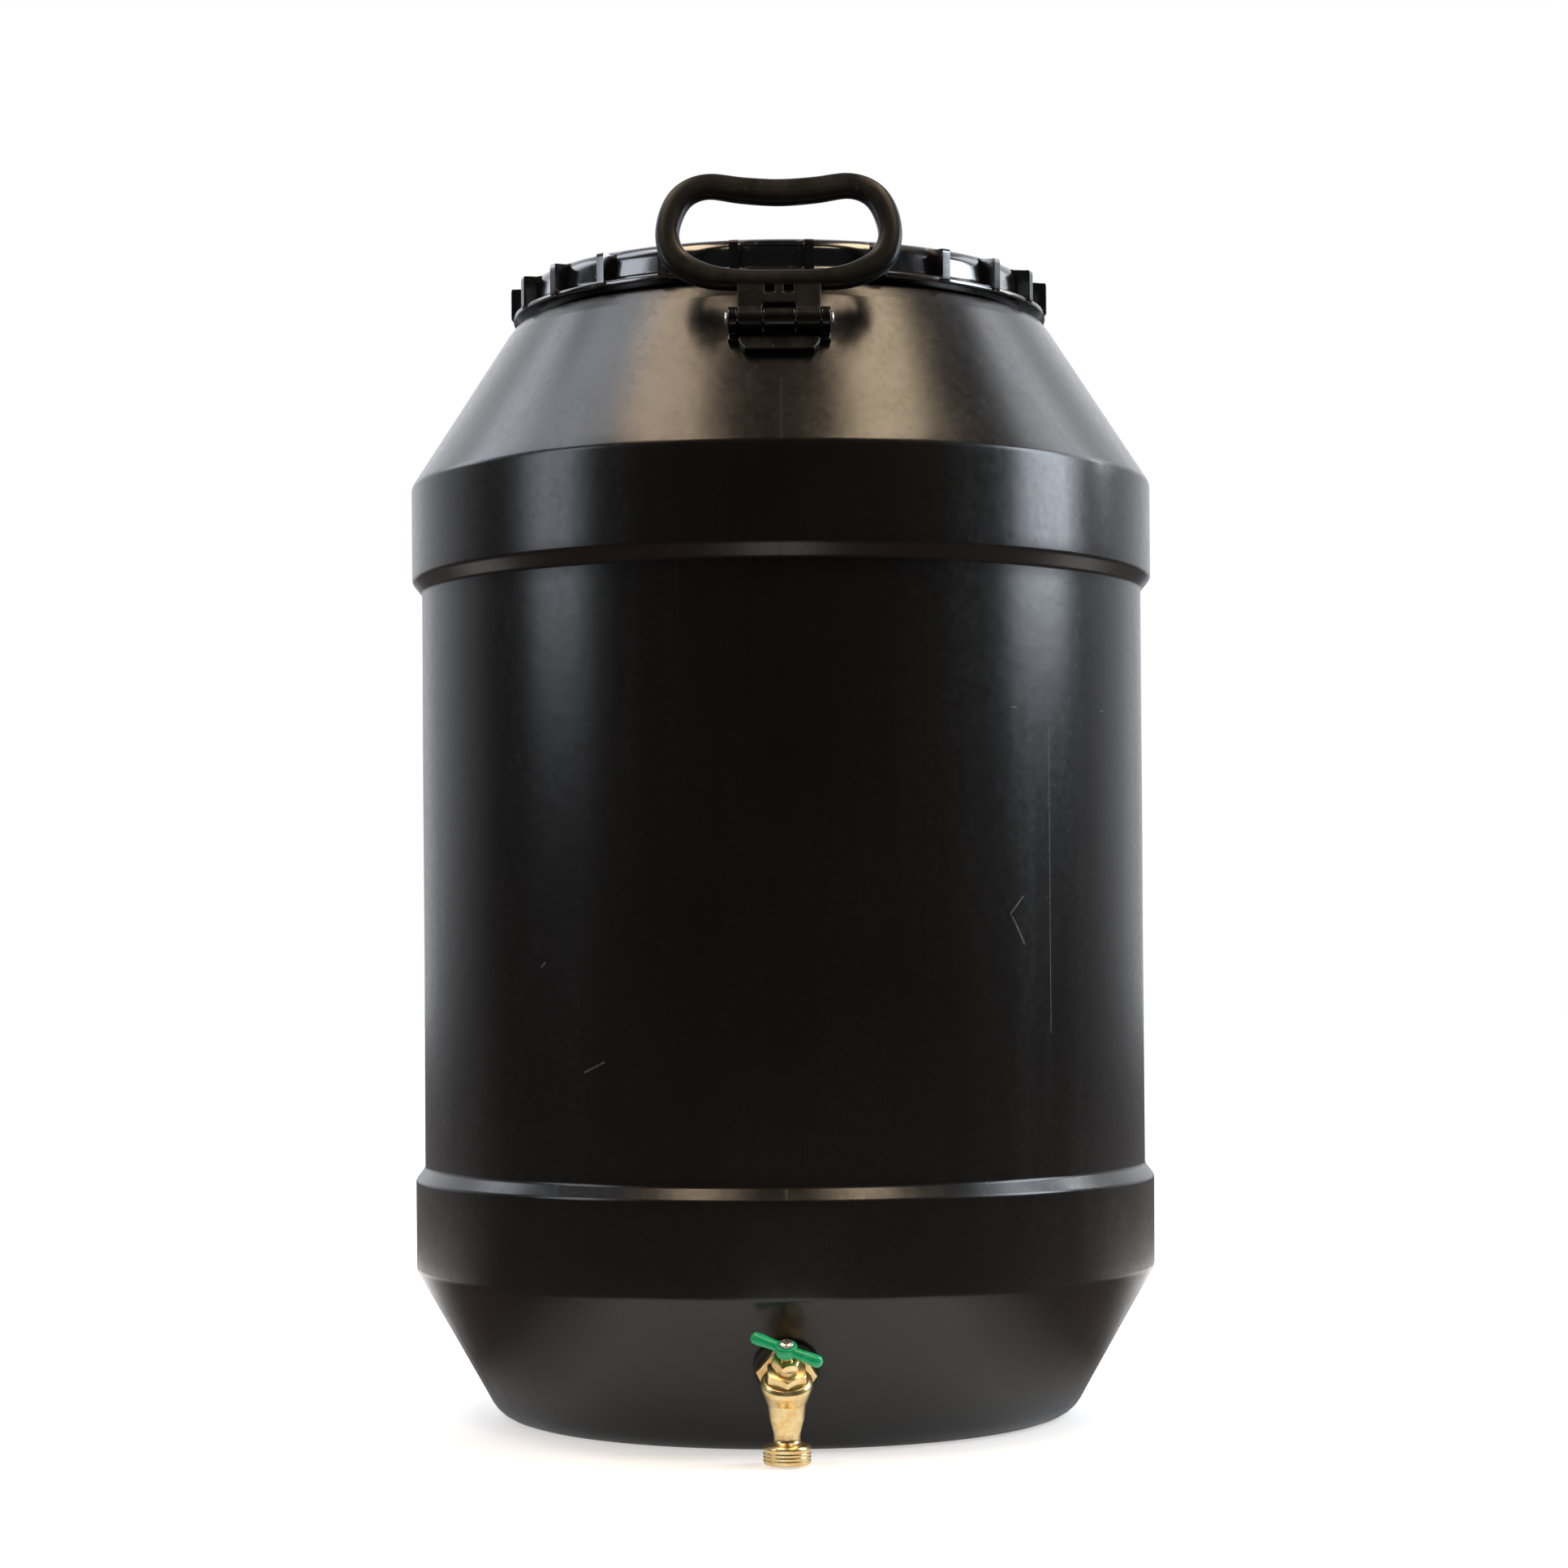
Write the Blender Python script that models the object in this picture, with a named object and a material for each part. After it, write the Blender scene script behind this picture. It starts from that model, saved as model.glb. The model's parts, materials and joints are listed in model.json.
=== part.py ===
"""Rain barrel: an open-top moulded drum with a screw lid, two hinged carrying loops and a brass tap.

Metres, +Z up. The origin is the middle of the base, on the floor. The tap faces -Y.
Profiles are lists of (radius, height) corners in millimetres, and MM turns them into metres.
"""

import math

import bmesh
import bpy
from mathutils import Matrix, Vector

MM = 0.001
TURN = 2 * math.pi
GAP = 0.3  # clearance between pieces that touch, mm
NUDGE = 0.01  # keeps faces of joined shapes from lying in one plane, mm

# Drum, mm
DRUM_SEGMENTS = 48
WALL = 4.8
FILLET_STEP = 9.0  # radius of fillet for each facet of its arc
BAND_R = 305.0
WALL_R = 297.0
FOOT_R = 235.9  # where the lower cone would meet the floor
FOOT_RING_R = 190.0
FOOT_RECESS = 3.0
LOWER_CONE_TOP = 122.6
LOWER_BAND_TOP = 196.0
UPPER_BAND_BOTTOM = 686.0
UPPER_BAND_TOP = 762.0
BAND_STEP = 10.0
COLLAR_R = 226.0
CONE_TOP = 884.0
COLLAR_TOP = 898.0
NECK_R = 196.0
NECK_TOP = 918.0

# Lid, mm
LID_SEGMENTS = 48
COVER_SEGMENTS = 40
INLET_SEGMENTS = 32
THREAD_PITCH = 10.0
THREAD_ROOT_HALF = 2.2
THREAD_CREST_HALF = 1.2
THREAD_SINK = 2.0  # how far a ridge starts inside the wall it stands on
THREAD_CREST_R = 200.0
THREAD_START = 903.0
NECK_THREAD_TURNS = 1.2
LID_THREAD_TURNS = 1.0
LID_THREAD_CREST_R = 197.5
LID_THREAD_LEAD = -0.47  # where the lid's thread starts, in turns
LID_BORE_R = 201.5
LID_BOTTOM = 901.0
LID_TOP = 931.0
LID_MOUTH_R = 186.0
LID_LIP = LID_TOP - 5.1
LID_RING_OUTLINE = [
    (220, LID_BOTTOM), (220, LID_BOTTOM + 4), (212, LID_BOTTOM + 5.5), (210.5, 921), (207.5, 927),
    (203, LID_TOP), (LID_MOUTH_R, LID_TOP), (LID_MOUTH_R, LID_LIP), (LID_BORE_R, LID_LIP),
    (LID_BORE_R, LID_BOTTOM),
]
RIB_COUNT = 24
RIB_ROOT_R = 206.0
RIB_R = 222.0
RIB_WIDTH = 8.0
RIB_BOTTOM = 903.0
RIB_TOP = 927.5
RIB_FIRST_ANGLE = 6.0
COVER_R = 199.5
COVER_LOW = NECK_TOP + 3.6
COVER_HIGH = COVER_LOW + 4
LEDGE = COVER_HIGH + 0.9  # where the screen lies
LEDGE_UNDER = LEDGE - 4
PANEL_TOP = LEDGE + 2.5
PANEL_UNDER = LEDGE - 1.5
SKIRT_BOTTOM = 912.0
SEAL_INNER_R = 189.5
SEAL_OUTER_R = 199.0
INLET_R = 75.0
COVER_OUTLINE = [
    (INLET_R, LEDGE), (85, LEDGE), (88, PANEL_TOP), (176, PANEL_TOP), (181, COVER_HIGH),
    (COVER_R, COVER_HIGH), (COVER_R, COVER_LOW), (188, COVER_LOW), (187.5, SKIRT_BOTTOM),
    (184.5, SKIRT_BOTTOM), (184, COVER_LOW), (178, COVER_LOW), (173, PANEL_UNDER), (90, PANEL_UNDER),
    (87, LEDGE_UNDER), (INLET_R, LEDGE_UNDER),
]
SCREEN_R = 83.0
SCREEN_LOW = LEDGE + GAP
SCREEN_HIGH = SCREEN_LOW + 0.5
GRILLE_R = 84.0
GRILLE_LOW = SCREEN_HIGH + GAP
GRILLE_HIGH = GRILLE_LOW + 2.5
GRILLE_FIELD_R = 71.0
GRILLE_SLOT = 9.0
GRILLE_BAR = 4.0
GRILLE_SPOKE = 6.0
GRILLE_ROWS = 5  # on each side of the middle bar
SHORTEST_SLOT = 18.0
CLAMP_INNER_R = 68.0
CLAMP_HIGH = LEDGE_UNDER - GAP
CLAMP_LOW = CLAMP_HIGH - 3
SCREW_CIRCLE_R = 79.5
SCREW_COUNT = 4
SCREW_HOLE_R = 2.4
SCREW_TIP = CLAMP_LOW - 1.5
SCREW_SEAT = GRILLE_HIGH + GAP
GRILLE_SCREW = [
    (0, SCREW_TIP), (1.9, SCREW_TIP), (1.9, SCREW_SEAT), (3.6, SCREW_SEAT), (3.6, SCREW_SEAT + 1),
    (2.4, SCREW_SEAT + 2), (0, SCREW_SEAT + 2),
]

# Carrying loops, mm
PIN_Y = -256.0
PIN_Z = 860.0
PIN_R = 3.2
LOOP_LEAN = math.radians(18)
LOOP_DEPTH = 13.0
NECK_DEPTH = 11.0
NECK_HALF = 31.6
KNUCKLE_HALF = 12.0
EAR_INNER = 32.2
EAR_OUTER = 39.0
KNUCKLE_R = 8.2
LOOP_KNUCKLE_R = 8.0
LOOP_PIN_HOLE_R = 3.7
KNUCKLE_PLAY = 0.6  # between the middle knuckle and the loop's, on each side
NECK_LOW = 10.5  # the neck block's ends, from the pin
NECK_HIGH = 34.0
POCKET = (3.5, 11.0, 19.0, 26.0)  # a square pocket: inner and outer side, bottom and top
POCKET_FLOOR = -2.0
THROUGH = 45.0  # half the length of a cutter that runs right through
PIN_END = EAR_OUTER + 2.3
PIN_HEAD = EAR_OUTER + GAP
PIN_OUTLINE = [
    (0, -PIN_END), (4.5, -PIN_END), (5.5, 1 - PIN_END), (5.5, -PIN_HEAD), (PIN_R, -PIN_HEAD),
    (PIN_R, PIN_HEAD), (5.5, PIN_HEAD), (5.5, PIN_END - 1), (4.5, PIN_END), (0, PIN_END),
]
# Bracket blocks, along (sideways, down the cone, out of it) from the cone under the pin
BRACKET_ROOT = -6.0
SINK = 0.1  # keeps the blocks' buried faces apart
FOOT_LOW = (-EAR_OUTER, -21.0, BRACKET_ROOT)
FOOT_HIGH = (EAR_OUTER, 13.0, 3.0)
STOP_LOW = (-30.0, -20.9, BRACKET_ROOT + 2 * SINK)
STOP_HIGH = (30.0, -14.0, 9.9)
LUG_OUTLINE = [(-30.5, 12), (30.5, 12), (30.5, 18), (26, 25), (-26, 25), (-30.5, 18)]
LUG_TOP = 6.5
MIDDLE_HALF = 6.0  # half the depth of the post under the middle knuckle
EAR_HALF = 7.0

# Tap and overflow, mm
INLET_Z = 70.0
TAP_REACH = 36.0
SHANK_R = 13.0
HOLE_R = 13.6
GASKET_R = 25.0
SHANK_BURY = 6.0  # how far the shank reaches into the flange
SHANK_LENGTH = 24.0
FLANGE_R = 21.0
FLANGE_BACK = -4.3 - GAP  # the flange's two faces, from the wall
FLANGE_FRONT = -11.6
FLANGE_TURN = math.radians(5)
GASKET_OUT = -4.3
INNER_SEAL = WALL + 2
SEAL_THICK = 3.0
NUT_R = 22.0
NUT_LOW = INNER_SEAL + SEAL_THICK + GAP
NUT_HIGH = INNER_SEAL + 11
BELLY = [(0, -15), (9, -14), (13.5, -9.5), (15.5, 0), (14, 7), (17, 9.5), (17.6, 12.5), (16.5, 16), (0, 16)]
SPOUT_LENGTH = 50.3
SPOUT = [
    (0, -2), (12, -2), (14, 8), (13, 17), (10.2, 27), (10, 33), (12, 35), (16.5, 36), (18, 38),
    (18, 47.5), (16.6, SPOUT_LENGTH), (0, SPOUT_LENGTH),
]
SPOUT_BORE_R = 7.5
SPOUT_BORE_START = 14.0
INLET_ROD_R = 12.0
INLET_BORE_R = 6.5
CHAMBER_R = 10.5
SEAT_Z = -7.0
BODY_TOP = 16.0
BONNET_SPIGOT = (10.2, 7.0, 18.0)  # radius, bottom and top
BONNET_HEX = (16.5, BODY_TOP + GAP, 24.0, math.radians(32))  # corner radius, bottom, top and turn
BONNET_NECK = (9.2, 23.0, 27.0)
STEM_R = 4.6
STEM_HOLE_R = STEM_R + 0.4
PACKING_R = 7.3
PACKING_BOTTOM = 22.0
PACKING_TOP = 26.5
RECESS_R = 7.6
PACKING_NUT_HEX = (11.5, 27 + GAP, 34.0, math.radians(14))
STEM = [(0, -2.4), (9, -2.4), (9, 0.6), (STEM_R, 2), (STEM_R, 46.2), (0, 46.2)]
STEM_SCREW_HOLES = [(2.2, -4.0, 6.0), (2.2, 37.0, 50.0)]
SEAT_WASHER = (2.3, 9.0, -6.7, -2.7)  # inner and outer radius, bottom and top
SEAT_SCREW = [(0, -9), (3.5, -9), (4.5, -8), (4.5, -7), (1.8, -7), (1.8, 4), (0, 4)]
BAR_HALF = 31.0
BAR_Z = 42.0
BAR_TURN = math.radians(-33)
BAR = [
    (0, -BAR_HALF), (2.6, 0.6 - BAR_HALF), (4.4, 2.6 - BAR_HALF), (4.8, 6 - BAR_HALF), (3.6, -11),
    (3.6, 11), (4.8, BAR_HALF - 6), (4.4, BAR_HALF - 2.6), (2.6, BAR_HALF - 0.6), (0, BAR_HALF),
]
HUB_TOP = 46.5
HUB = [(0, 37.5), (7, 37.5), (8.5, 39), (8.5, 45), (7.5, HUB_TOP), (0, HUB_TOP)]
CAP = HUB_TOP + GAP
CAP_SCREW = [(0, 39), (1.9, 39), (1.9, CAP), (5.4, CAP), (5.4, CAP + 1.2), (4, CAP + 2.2), (0, CAP + 2.2)]
OVERFLOW_Z = 724.0
OVERFLOW_BORE_R = 8.0
BARBED_TAIL = [(0, 8), (11, 8), (11, 17), (12.6, 17), (10.4, 24), (12.6, 24), (10.4, 31), (12.6, 31),
               (10.4, 38), (9.6, 41), (0, 41)]


# ---------------------------------------------------------------- materials

def material(name, colour, roughness, metallic=0.0):
    """A Principled material with one colour."""
    made = bpy.data.materials.new(name)
    made.use_nodes = True
    shader = made.node_tree.nodes["Principled BSDF"]
    shader.inputs["Base Color"].default_value = (*colour, 1.0)
    shader.inputs["Roughness"].default_value = roughness
    shader.inputs["Metallic"].default_value = metallic
    made.diffuse_color = (*colour, 1.0)
    return made


# ---------------------------------------------------------------- outlines

def fillet(before, corner, after, radius, steps):
    """Points of an arc that rounds one corner of an outline."""
    corner = Vector(corner)
    back = (Vector(before) - corner).normalized()
    ahead = (Vector(after) - corner).normalized()
    half = math.acos(max(-1.0, min(1.0, back.dot(ahead)))) / 2
    reach = radius / math.tan(half)
    centre = corner + (back + ahead).normalized() * (radius / math.sin(half))
    start = corner + back * reach - centre
    end = corner + ahead * reach - centre
    sweep = start.angle_signed(end)
    turn = [Matrix.Rotation(-sweep * i / steps, 2) for i in range(steps + 1)]
    return [tuple(centre + m @ start) for m in turn]


def rounded(corners, smallest=0.0):
    """An open outline from (radius, height, fillet) corners, with each larger fillet as an arc."""
    points = [corners[0][:2]]
    for before, corner, after in zip(corners, corners[1:], corners[2:]):
        if corner[2] > smallest:
            steps = max(1, round(corner[2] / FILLET_STEP))
            points += fillet(before[:2], corner[:2], after[:2], corner[2], steps)
        else:
            points.append(corner[:2])
    points.append(corners[-1][:2])
    return points


def inset(corners, distance):
    """The same corners moved to their left by a distance, with each fillet kept parallel."""
    points = [Vector(c[:2]) for c in corners]
    steps = [(b - a).normalized() for a, b in zip(points, points[1:])]
    normals = [Vector((-s.y, s.x)) for s in steps]
    moved = [points[0] + normals[0] * distance]
    for point, first, second in zip(points[1:], normals, normals[1:]):
        moved.append(point + (first + second) * (distance / (1 + first.dot(second))))
    moved.append(points[-1] + normals[-1] * distance)
    result = []
    for index, (point, corner) in enumerate(zip(moved, corners)):
        radius = corner[2]
        if radius > 0:
            bend = steps[index - 1].cross(steps[index])
            radius = max(radius - math.copysign(distance, bend), 2.0)
        result.append((point.x, point.y, radius))
    return result


# ---------------------------------------------------------------- meshes, in metres

def lathe(outline, segments, closed=False):
    """Turn a (radius, height) outline in mm about Z. An open one ends on the axis."""
    mesh = bmesh.new()
    verts = [mesh.verts.new((r * MM, 0, z * MM)) for r, z in outline]
    pairs = list(zip(verts, verts[1:]))
    if closed:
        pairs.append((verts[-1], verts[0]))
    edges = [mesh.edges.new(pair) for pair in pairs]
    bmesh.ops.spin(
        mesh, geom=verts + edges, cent=(0, 0, 0), axis=(0, 0, 1),
        angle=TURN, steps=segments, use_merge=True,
    )
    bmesh.ops.remove_doubles(mesh, verts=mesh.verts, dist=1e-6)
    bmesh.ops.recalc_face_normals(mesh, faces=mesh.faces)
    return mesh


def rod(radius, low, high, segments=20):
    """A solid cylinder on the Z axis."""
    return lathe([(0, low), (radius, low), (radius, high), (0, high)], segments)


def washer(inner, outer, low, high, segments=24):
    """A flat ring on the Z axis."""
    return lathe([(outer, low), (outer, high), (inner, high), (inner, low)], segments, True)


def prism(outline, low, high):
    """An (x, y) outline in mm raised from one height to another."""
    mesh = bmesh.new()
    face = mesh.faces.new([mesh.verts.new((x * MM, y * MM, low * MM)) for x, y in outline])
    raised = bmesh.ops.extrude_face_region(mesh, geom=[face])
    moved = [v for v in raised["geom"] if isinstance(v, bmesh.types.BMVert)]
    bmesh.ops.translate(mesh, vec=(0, 0, (high - low) * MM), verts=moved)
    bmesh.ops.recalc_face_normals(mesh, faces=mesh.faces)
    return mesh


def block(low, high):
    """A box between two corners in mm."""
    outline = [(low[0], low[1]), (high[0], low[1]), (high[0], high[1]), (low[0], high[1])]
    return prism(outline, low[2], high[2])


def hexagon(circumradius, low, high, turn=0.0):
    """A hexagonal prism on the Z axis."""
    corners = [turn + TURN * i / 6 for i in range(6)]
    return prism([(circumradius * math.cos(a), circumradius * math.sin(a)) for a in corners], low, high)


def tube(sections):
    """A solid skinned over a row of equal rings of points, with a flat face at each end."""
    mesh = bmesh.new()
    rings = [[mesh.verts.new(Vector(p) * MM) for p in ring] for ring in sections]
    for first, second in zip(rings, rings[1:]):
        count = len(first)
        for i in range(count):
            j = (i + 1) % count
            mesh.faces.new((first[i], first[j], second[j], second[i]))
    mesh.faces.new(rings[0])
    mesh.faces.new(rings[-1])
    bmesh.ops.recalc_face_normals(mesh, faces=mesh.faces)
    return mesh


def ring_tube(sections):
    """A closed loop skinned over a row of equal rings of points."""
    mesh = bmesh.new()
    rings = [[mesh.verts.new(Vector(p) * MM) for p in ring] for ring in sections]
    for first, second in zip(rings, rings[1:] + rings[:1]):
        count = len(first)
        for i in range(count):
            j = (i + 1) % count
            mesh.faces.new((first[i], first[j], second[j], second[i]))
    bmesh.ops.recalc_face_normals(mesh, faces=mesh.faces)
    return mesh


def thread(root, crest, first_z, first_angle, turns, segments):
    """A helical ridge of trapezium section, climbing THREAD_PITCH a turn."""
    steps = round(turns * segments)
    sections = []
    for i in range(steps + 1):
        climb = turns * i / steps
        angle = first_angle + TURN * climb
        z = first_z + THREAD_PITCH * climb
        profile = [(root, z - THREAD_ROOT_HALF), (crest, z - THREAD_CREST_HALF),
                   (crest, z + THREAD_CREST_HALF), (root, z + THREAD_ROOT_HALF)]
        sections.append([(r * math.cos(angle), r * math.sin(angle), h) for r, h in profile])
    return tube(sections)


def moved(mesh, matrix):
    """The same mesh after a transform."""
    mesh.transform(matrix)
    return mesh


def on_axis(mesh, axis):
    """Turn a mesh made on the Z axis onto the X or Y axis."""
    turn = Matrix.Rotation(math.pi / 2, 4, "Y") if axis == "X" else Matrix.Rotation(-math.pi / 2, 4, "X")
    return moved(mesh, turn)


# ---------------------------------------------------------------- objects

def make_object(name, mesh):
    """An object in the scene from a bmesh."""
    data = bpy.data.meshes.new(name)
    mesh.to_mesh(data)
    mesh.free()
    made = bpy.data.objects.new(name, data)
    bpy.context.scene.collection.objects.link(made)
    return made


def combine(target, tool_mesh, operation):
    """Join a mesh to an object, or cut it away, for good."""
    tool = make_object("tool", tool_mesh)
    modifier = target.modifiers.new("shape", "BOOLEAN")
    modifier.operation = operation
    modifier.solver = "EXACT"
    modifier.object = tool
    bpy.context.view_layer.update()
    evaluated = target.evaluated_get(bpy.context.evaluated_depsgraph_get())
    result = bpy.data.meshes.new_from_object(evaluated)
    target.modifiers.clear()
    old = target.data
    target.data = result
    bpy.data.meshes.remove(old)
    bpy.data.objects.remove(tool)


def solid(name, finish, pieces, cuts=(), parent=None):
    """One closed body: the pieces joined, then the cuts taken away."""
    made = make_object(name, pieces[0])
    for piece in pieces[1:]:
        combine(made, piece, "UNION")
    for cut in cuts:
        combine(made, cut, "DIFFERENCE")
    made.data.name = name
    made.data.materials.clear()
    made.data.materials.append(finish)
    made.data.shade_smooth()
    made.data.set_sharp_from_angle(angle=math.radians(35))
    made.parent = parent
    return made


def guide(name, location=(0, 0, 0), rotation=(0, 0, 0), parent=None):
    """An empty that carries a group of pieces."""
    made = bpy.data.objects.new(name, None)
    made.location = Vector(location) * MM
    made.rotation_euler = rotation
    made.parent = parent
    bpy.context.scene.collection.objects.link(made)
    return made


# ---------------------------------------------------------------- drum

def lower_cone_r(z):
    """Outer radius of the lower cone at a height."""
    return FOOT_R + (BAND_R - FOOT_R) * z / LOWER_CONE_TOP


LOWER_CONE_TILT = math.atan2(BAND_R - FOOT_R, LOWER_CONE_TOP)
UPPER_CONE_TILT = math.atan2(BAND_R - COLLAR_R, CONE_TOP - UPPER_BAND_TOP)

DRUM_CORNERS = [
    (0, FOOT_RECESS, 0),
    (FOOT_RING_R - 6, FOOT_RECESS, 0),
    (FOOT_RING_R, 0, 0),
    (FOOT_R, 0, 28),
    (BAND_R, LOWER_CONE_TOP, 10),
    (BAND_R, LOWER_BAND_TOP, 5),
    (WALL_R + 0.5, LOWER_BAND_TOP + BAND_STEP, 0),
    (WALL_R, UPPER_BAND_BOTTOM - BAND_STEP, 0),
    (BAND_R, UPPER_BAND_BOTTOM, 5),
    (BAND_R, UPPER_BAND_TOP, 10),
    (COLLAR_R, CONE_TOP, 5),
    (COLLAR_R, COLLAR_TOP, 3),
    (NECK_R, COLLAR_TOP, 0),
    (NECK_R, NECK_TOP, 0),
]


def fitting_frame(name, radius, z, tilt, facing):
    """An empty on the wall whose -Y points straight out of it, and +Y into the drum."""
    turn = guide(name + "_side", rotation=(0, 0, facing))
    return guide(name, location=(0, -radius, z), rotation=(tilt, 0, 0), parent=turn)


def wall_hole(frame):
    """A cutter for a fitting's hole, in the drum's own space."""
    bpy.context.view_layer.update()
    return moved(on_axis(rod(HOLE_R, -THROUGH, THROUGH, 24), "Y"), frame.matrix_world)


def build_drum(plastic, tap_frame, overflow_frame):
    """The hollow shell with its threaded neck and the holes for the two fittings."""
    outside = rounded(DRUM_CORNERS)
    inside = rounded(inset(DRUM_CORNERS, WALL), smallest=20.0)
    shell = lathe(outside + inside[::-1], DRUM_SEGMENTS)
    ridge = thread(NECK_R - THREAD_SINK, THREAD_CREST_R, THREAD_START, 0, NECK_THREAD_TURNS, DRUM_SEGMENTS)
    solid("drum_shell", plastic, [shell, ridge], [wall_hole(tap_frame), wall_hole(overflow_frame)])


# ---------------------------------------------------------------- lid

def build_lid_ring(plastic):
    """The ribbed ring that screws down on the neck."""
    pieces = [lathe(LID_RING_OUTLINE, LID_SEGMENTS, closed=True)]
    for i in range(RIB_COUNT):
        rib = block((RIB_ROOT_R, -RIB_WIDTH / 2, RIB_BOTTOM), (RIB_R, RIB_WIDTH / 2, RIB_TOP))
        angle = math.radians(RIB_FIRST_ANGLE + 360 / RIB_COUNT * i)
        pieces.append(moved(rib, Matrix.Rotation(angle - math.pi / 2, 4, "Z")))
    lowest = THREAD_START + THREAD_PITCH * (0.5 + LID_THREAD_LEAD)
    pieces.append(thread(
        LID_BORE_R + THREAD_SINK, LID_THREAD_CREST_R, lowest, LID_THREAD_LEAD * TURN,
        LID_THREAD_TURNS, LID_SEGMENTS,
    ))
    solid("lid_ring", plastic, pieces)


def on_screw_circle(mesh_maker):
    """One mesh at each of the lid's screw places."""
    places = []
    for i in range(SCREW_COUNT):
        angle = TURN * (i + 0.5) / SCREW_COUNT
        shift = Vector((math.cos(angle), math.sin(angle), 0)) * SCREW_CIRCLE_R * MM
        places.append(moved(mesh_maker(), Matrix.Translation(shift)))
    return places


def screw_hole():
    """A cutter for one of the lid's screws."""
    return rod(SCREW_HOLE_R, SKIRT_BOTTOM, LID_TOP, 8)


def grille_slots():
    """Cutters for the rows of slots on both sides of the grille's spoke."""
    slots = []
    for row in range(-GRILLE_ROWS, GRILLE_ROWS):
        low = row * (GRILLE_SLOT + GRILLE_BAR) + GRILLE_BAR / 2
        high = low + GRILLE_SLOT
        reach = math.sqrt(max(GRILLE_FIELD_R ** 2 - max(abs(low), abs(high)) ** 2, 0))
        if reach > SHORTEST_SLOT:
            for side in (-1, 1):
                left, right = sorted((side * GRILLE_SPOKE / 2, side * reach))
                slots.append(block((left, low, GRILLE_LOW - 1), (right, high, GRILLE_HIGH + 1)))
    return slots


def build_lid_cover(plastic, rubber, steel, mesh_metal):
    """The cover under the ring: panel, gasket, and the screened water inlet with its screws."""
    solid("lid_cover", plastic, [lathe(COVER_OUTLINE, COVER_SEGMENTS, closed=True)],
          on_screw_circle(screw_hole))
    seal = washer(SEAL_INNER_R, SEAL_OUTER_R, NECK_TOP + GAP, COVER_LOW - GAP, COVER_SEGMENTS)
    solid("lid_gasket", rubber, [seal])
    solid("insect_screen", mesh_metal, [rod(SCREEN_R, SCREEN_LOW, SCREEN_HIGH, INLET_SEGMENTS)],
          on_screw_circle(screw_hole))
    solid("inlet_grille", plastic, [rod(GRILLE_R, GRILLE_LOW, GRILLE_HIGH, INLET_SEGMENTS)],
          grille_slots() + on_screw_circle(screw_hole))
    solid("screen_clamp_ring", plastic,
          [washer(CLAMP_INNER_R, GRILLE_R, CLAMP_LOW, CLAMP_HIGH, INLET_SEGMENTS)],
          on_screw_circle(screw_hole))
    screws = on_screw_circle(lambda: lathe(GRILLE_SCREW, 8))
    for number, mesh in enumerate(screws, start=1):
        solid(f"grille_screw_{number}", steel, [mesh])


# ---------------------------------------------------------------- carrying loops

# Half of the loop's centre line, from the middle of its lower bar to the middle of its grip:
# sideways, distance from the pin, and half the bar's width there.
LOOP_STATIONS = [
    (0, 32, 8), (29, 32.5, 8.2), (55, 36, 9.5), (76.8, 48.3, 10.2), (84.8, 68, 9.3),
    (81.5, 90, 9.8), (71.5, 106, 10), (54, 113, 10.2), (28, 109.5, 10.6), (0, 107.5, 10.8),
]
LOOP_SUBDIVISION = 2
LOOP_SIDES = 8
LOOP_SQUARENESS = 0.7  # 1 for an oval section, 0 for a square one


def smooth_loop(stations, subdivision):
    """Catmull-Rom points round a closed row of stations."""
    count = len(stations)
    points = []
    for i in range(count):
        a, b, c, d = (Vector(stations[(i + k) % count]) for k in (-1, 0, 1, 2))
        for step in range(subdivision):
            t = step / subdivision
            points.append(
                0.5 * (2 * b + (c - a) * t + (2 * a - 5 * b + 4 * c - d) * t * t
                       + (3 * b - a - 3 * c + d) * t ** 3)
            )
    return points


def loop_mesh():
    """The hand loop: an oval bar swept round a waisted outline."""
    left = [(-x, v, w) for x, v, w in LOOP_STATIONS[-2:0:-1]]
    stations = smooth_loop(LOOP_STATIONS + left, LOOP_SUBDIVISION)
    sections = []
    for i, (x, v, width) in enumerate(stations):
        along = Vector(stations[(i + 1) % len(stations)][:2]) - Vector(stations[i - 1][:2])
        out = Vector((along.y, -along.x)).normalized()
        ring = []
        for k in range(LOOP_SIDES):
            angle = TURN * (k + 0.5) / LOOP_SIDES
            across = math.copysign(abs(math.cos(angle)) ** LOOP_SQUARENESS, math.cos(angle)) * width
            deep = math.copysign(abs(math.sin(angle)) ** LOOP_SQUARENESS, math.sin(angle)) * LOOP_DEPTH / 2
            ring.append((x + out.x * across, deep, v + out.y * across))
        sections.append(ring)
    return ring_tube(sections)


def handle_mesh_pieces():
    """The loop with its neck and its two knuckles, the pin's axis on X."""
    deep = NECK_DEPTH / 2
    pieces = [loop_mesh(), block((-NECK_HALF, -deep, NECK_LOW), (NECK_HALF, deep, NECK_HIGH))]
    for side in (-1, 1):
        left, right = sorted((side * (KNUCKLE_HALF + KNUCKLE_PLAY), side * NECK_HALF))
        web = deep - NUDGE
        pieces.append(block((left + NUDGE, -web, 0), (right - NUDGE, web, NECK_LOW + 1)))
        pieces.append(on_axis(rod(LOOP_KNUCKLE_R, left, right), "X"))
    return pieces


def handle_cuts():
    """The pin's hole and the two square pockets in the neck's face."""
    cuts = [on_axis(rod(LOOP_PIN_HOLE_R, -THROUGH, THROUGH, 16), "X")]
    inner, outer, bottom, top = POCKET
    for side in (-1, 1):
        left, right = sorted((side * inner, side * outer))
        cuts.append(block((left, -NECK_DEPTH, bottom), (right, POCKET_FLOOR, top)))
    return cuts


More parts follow.
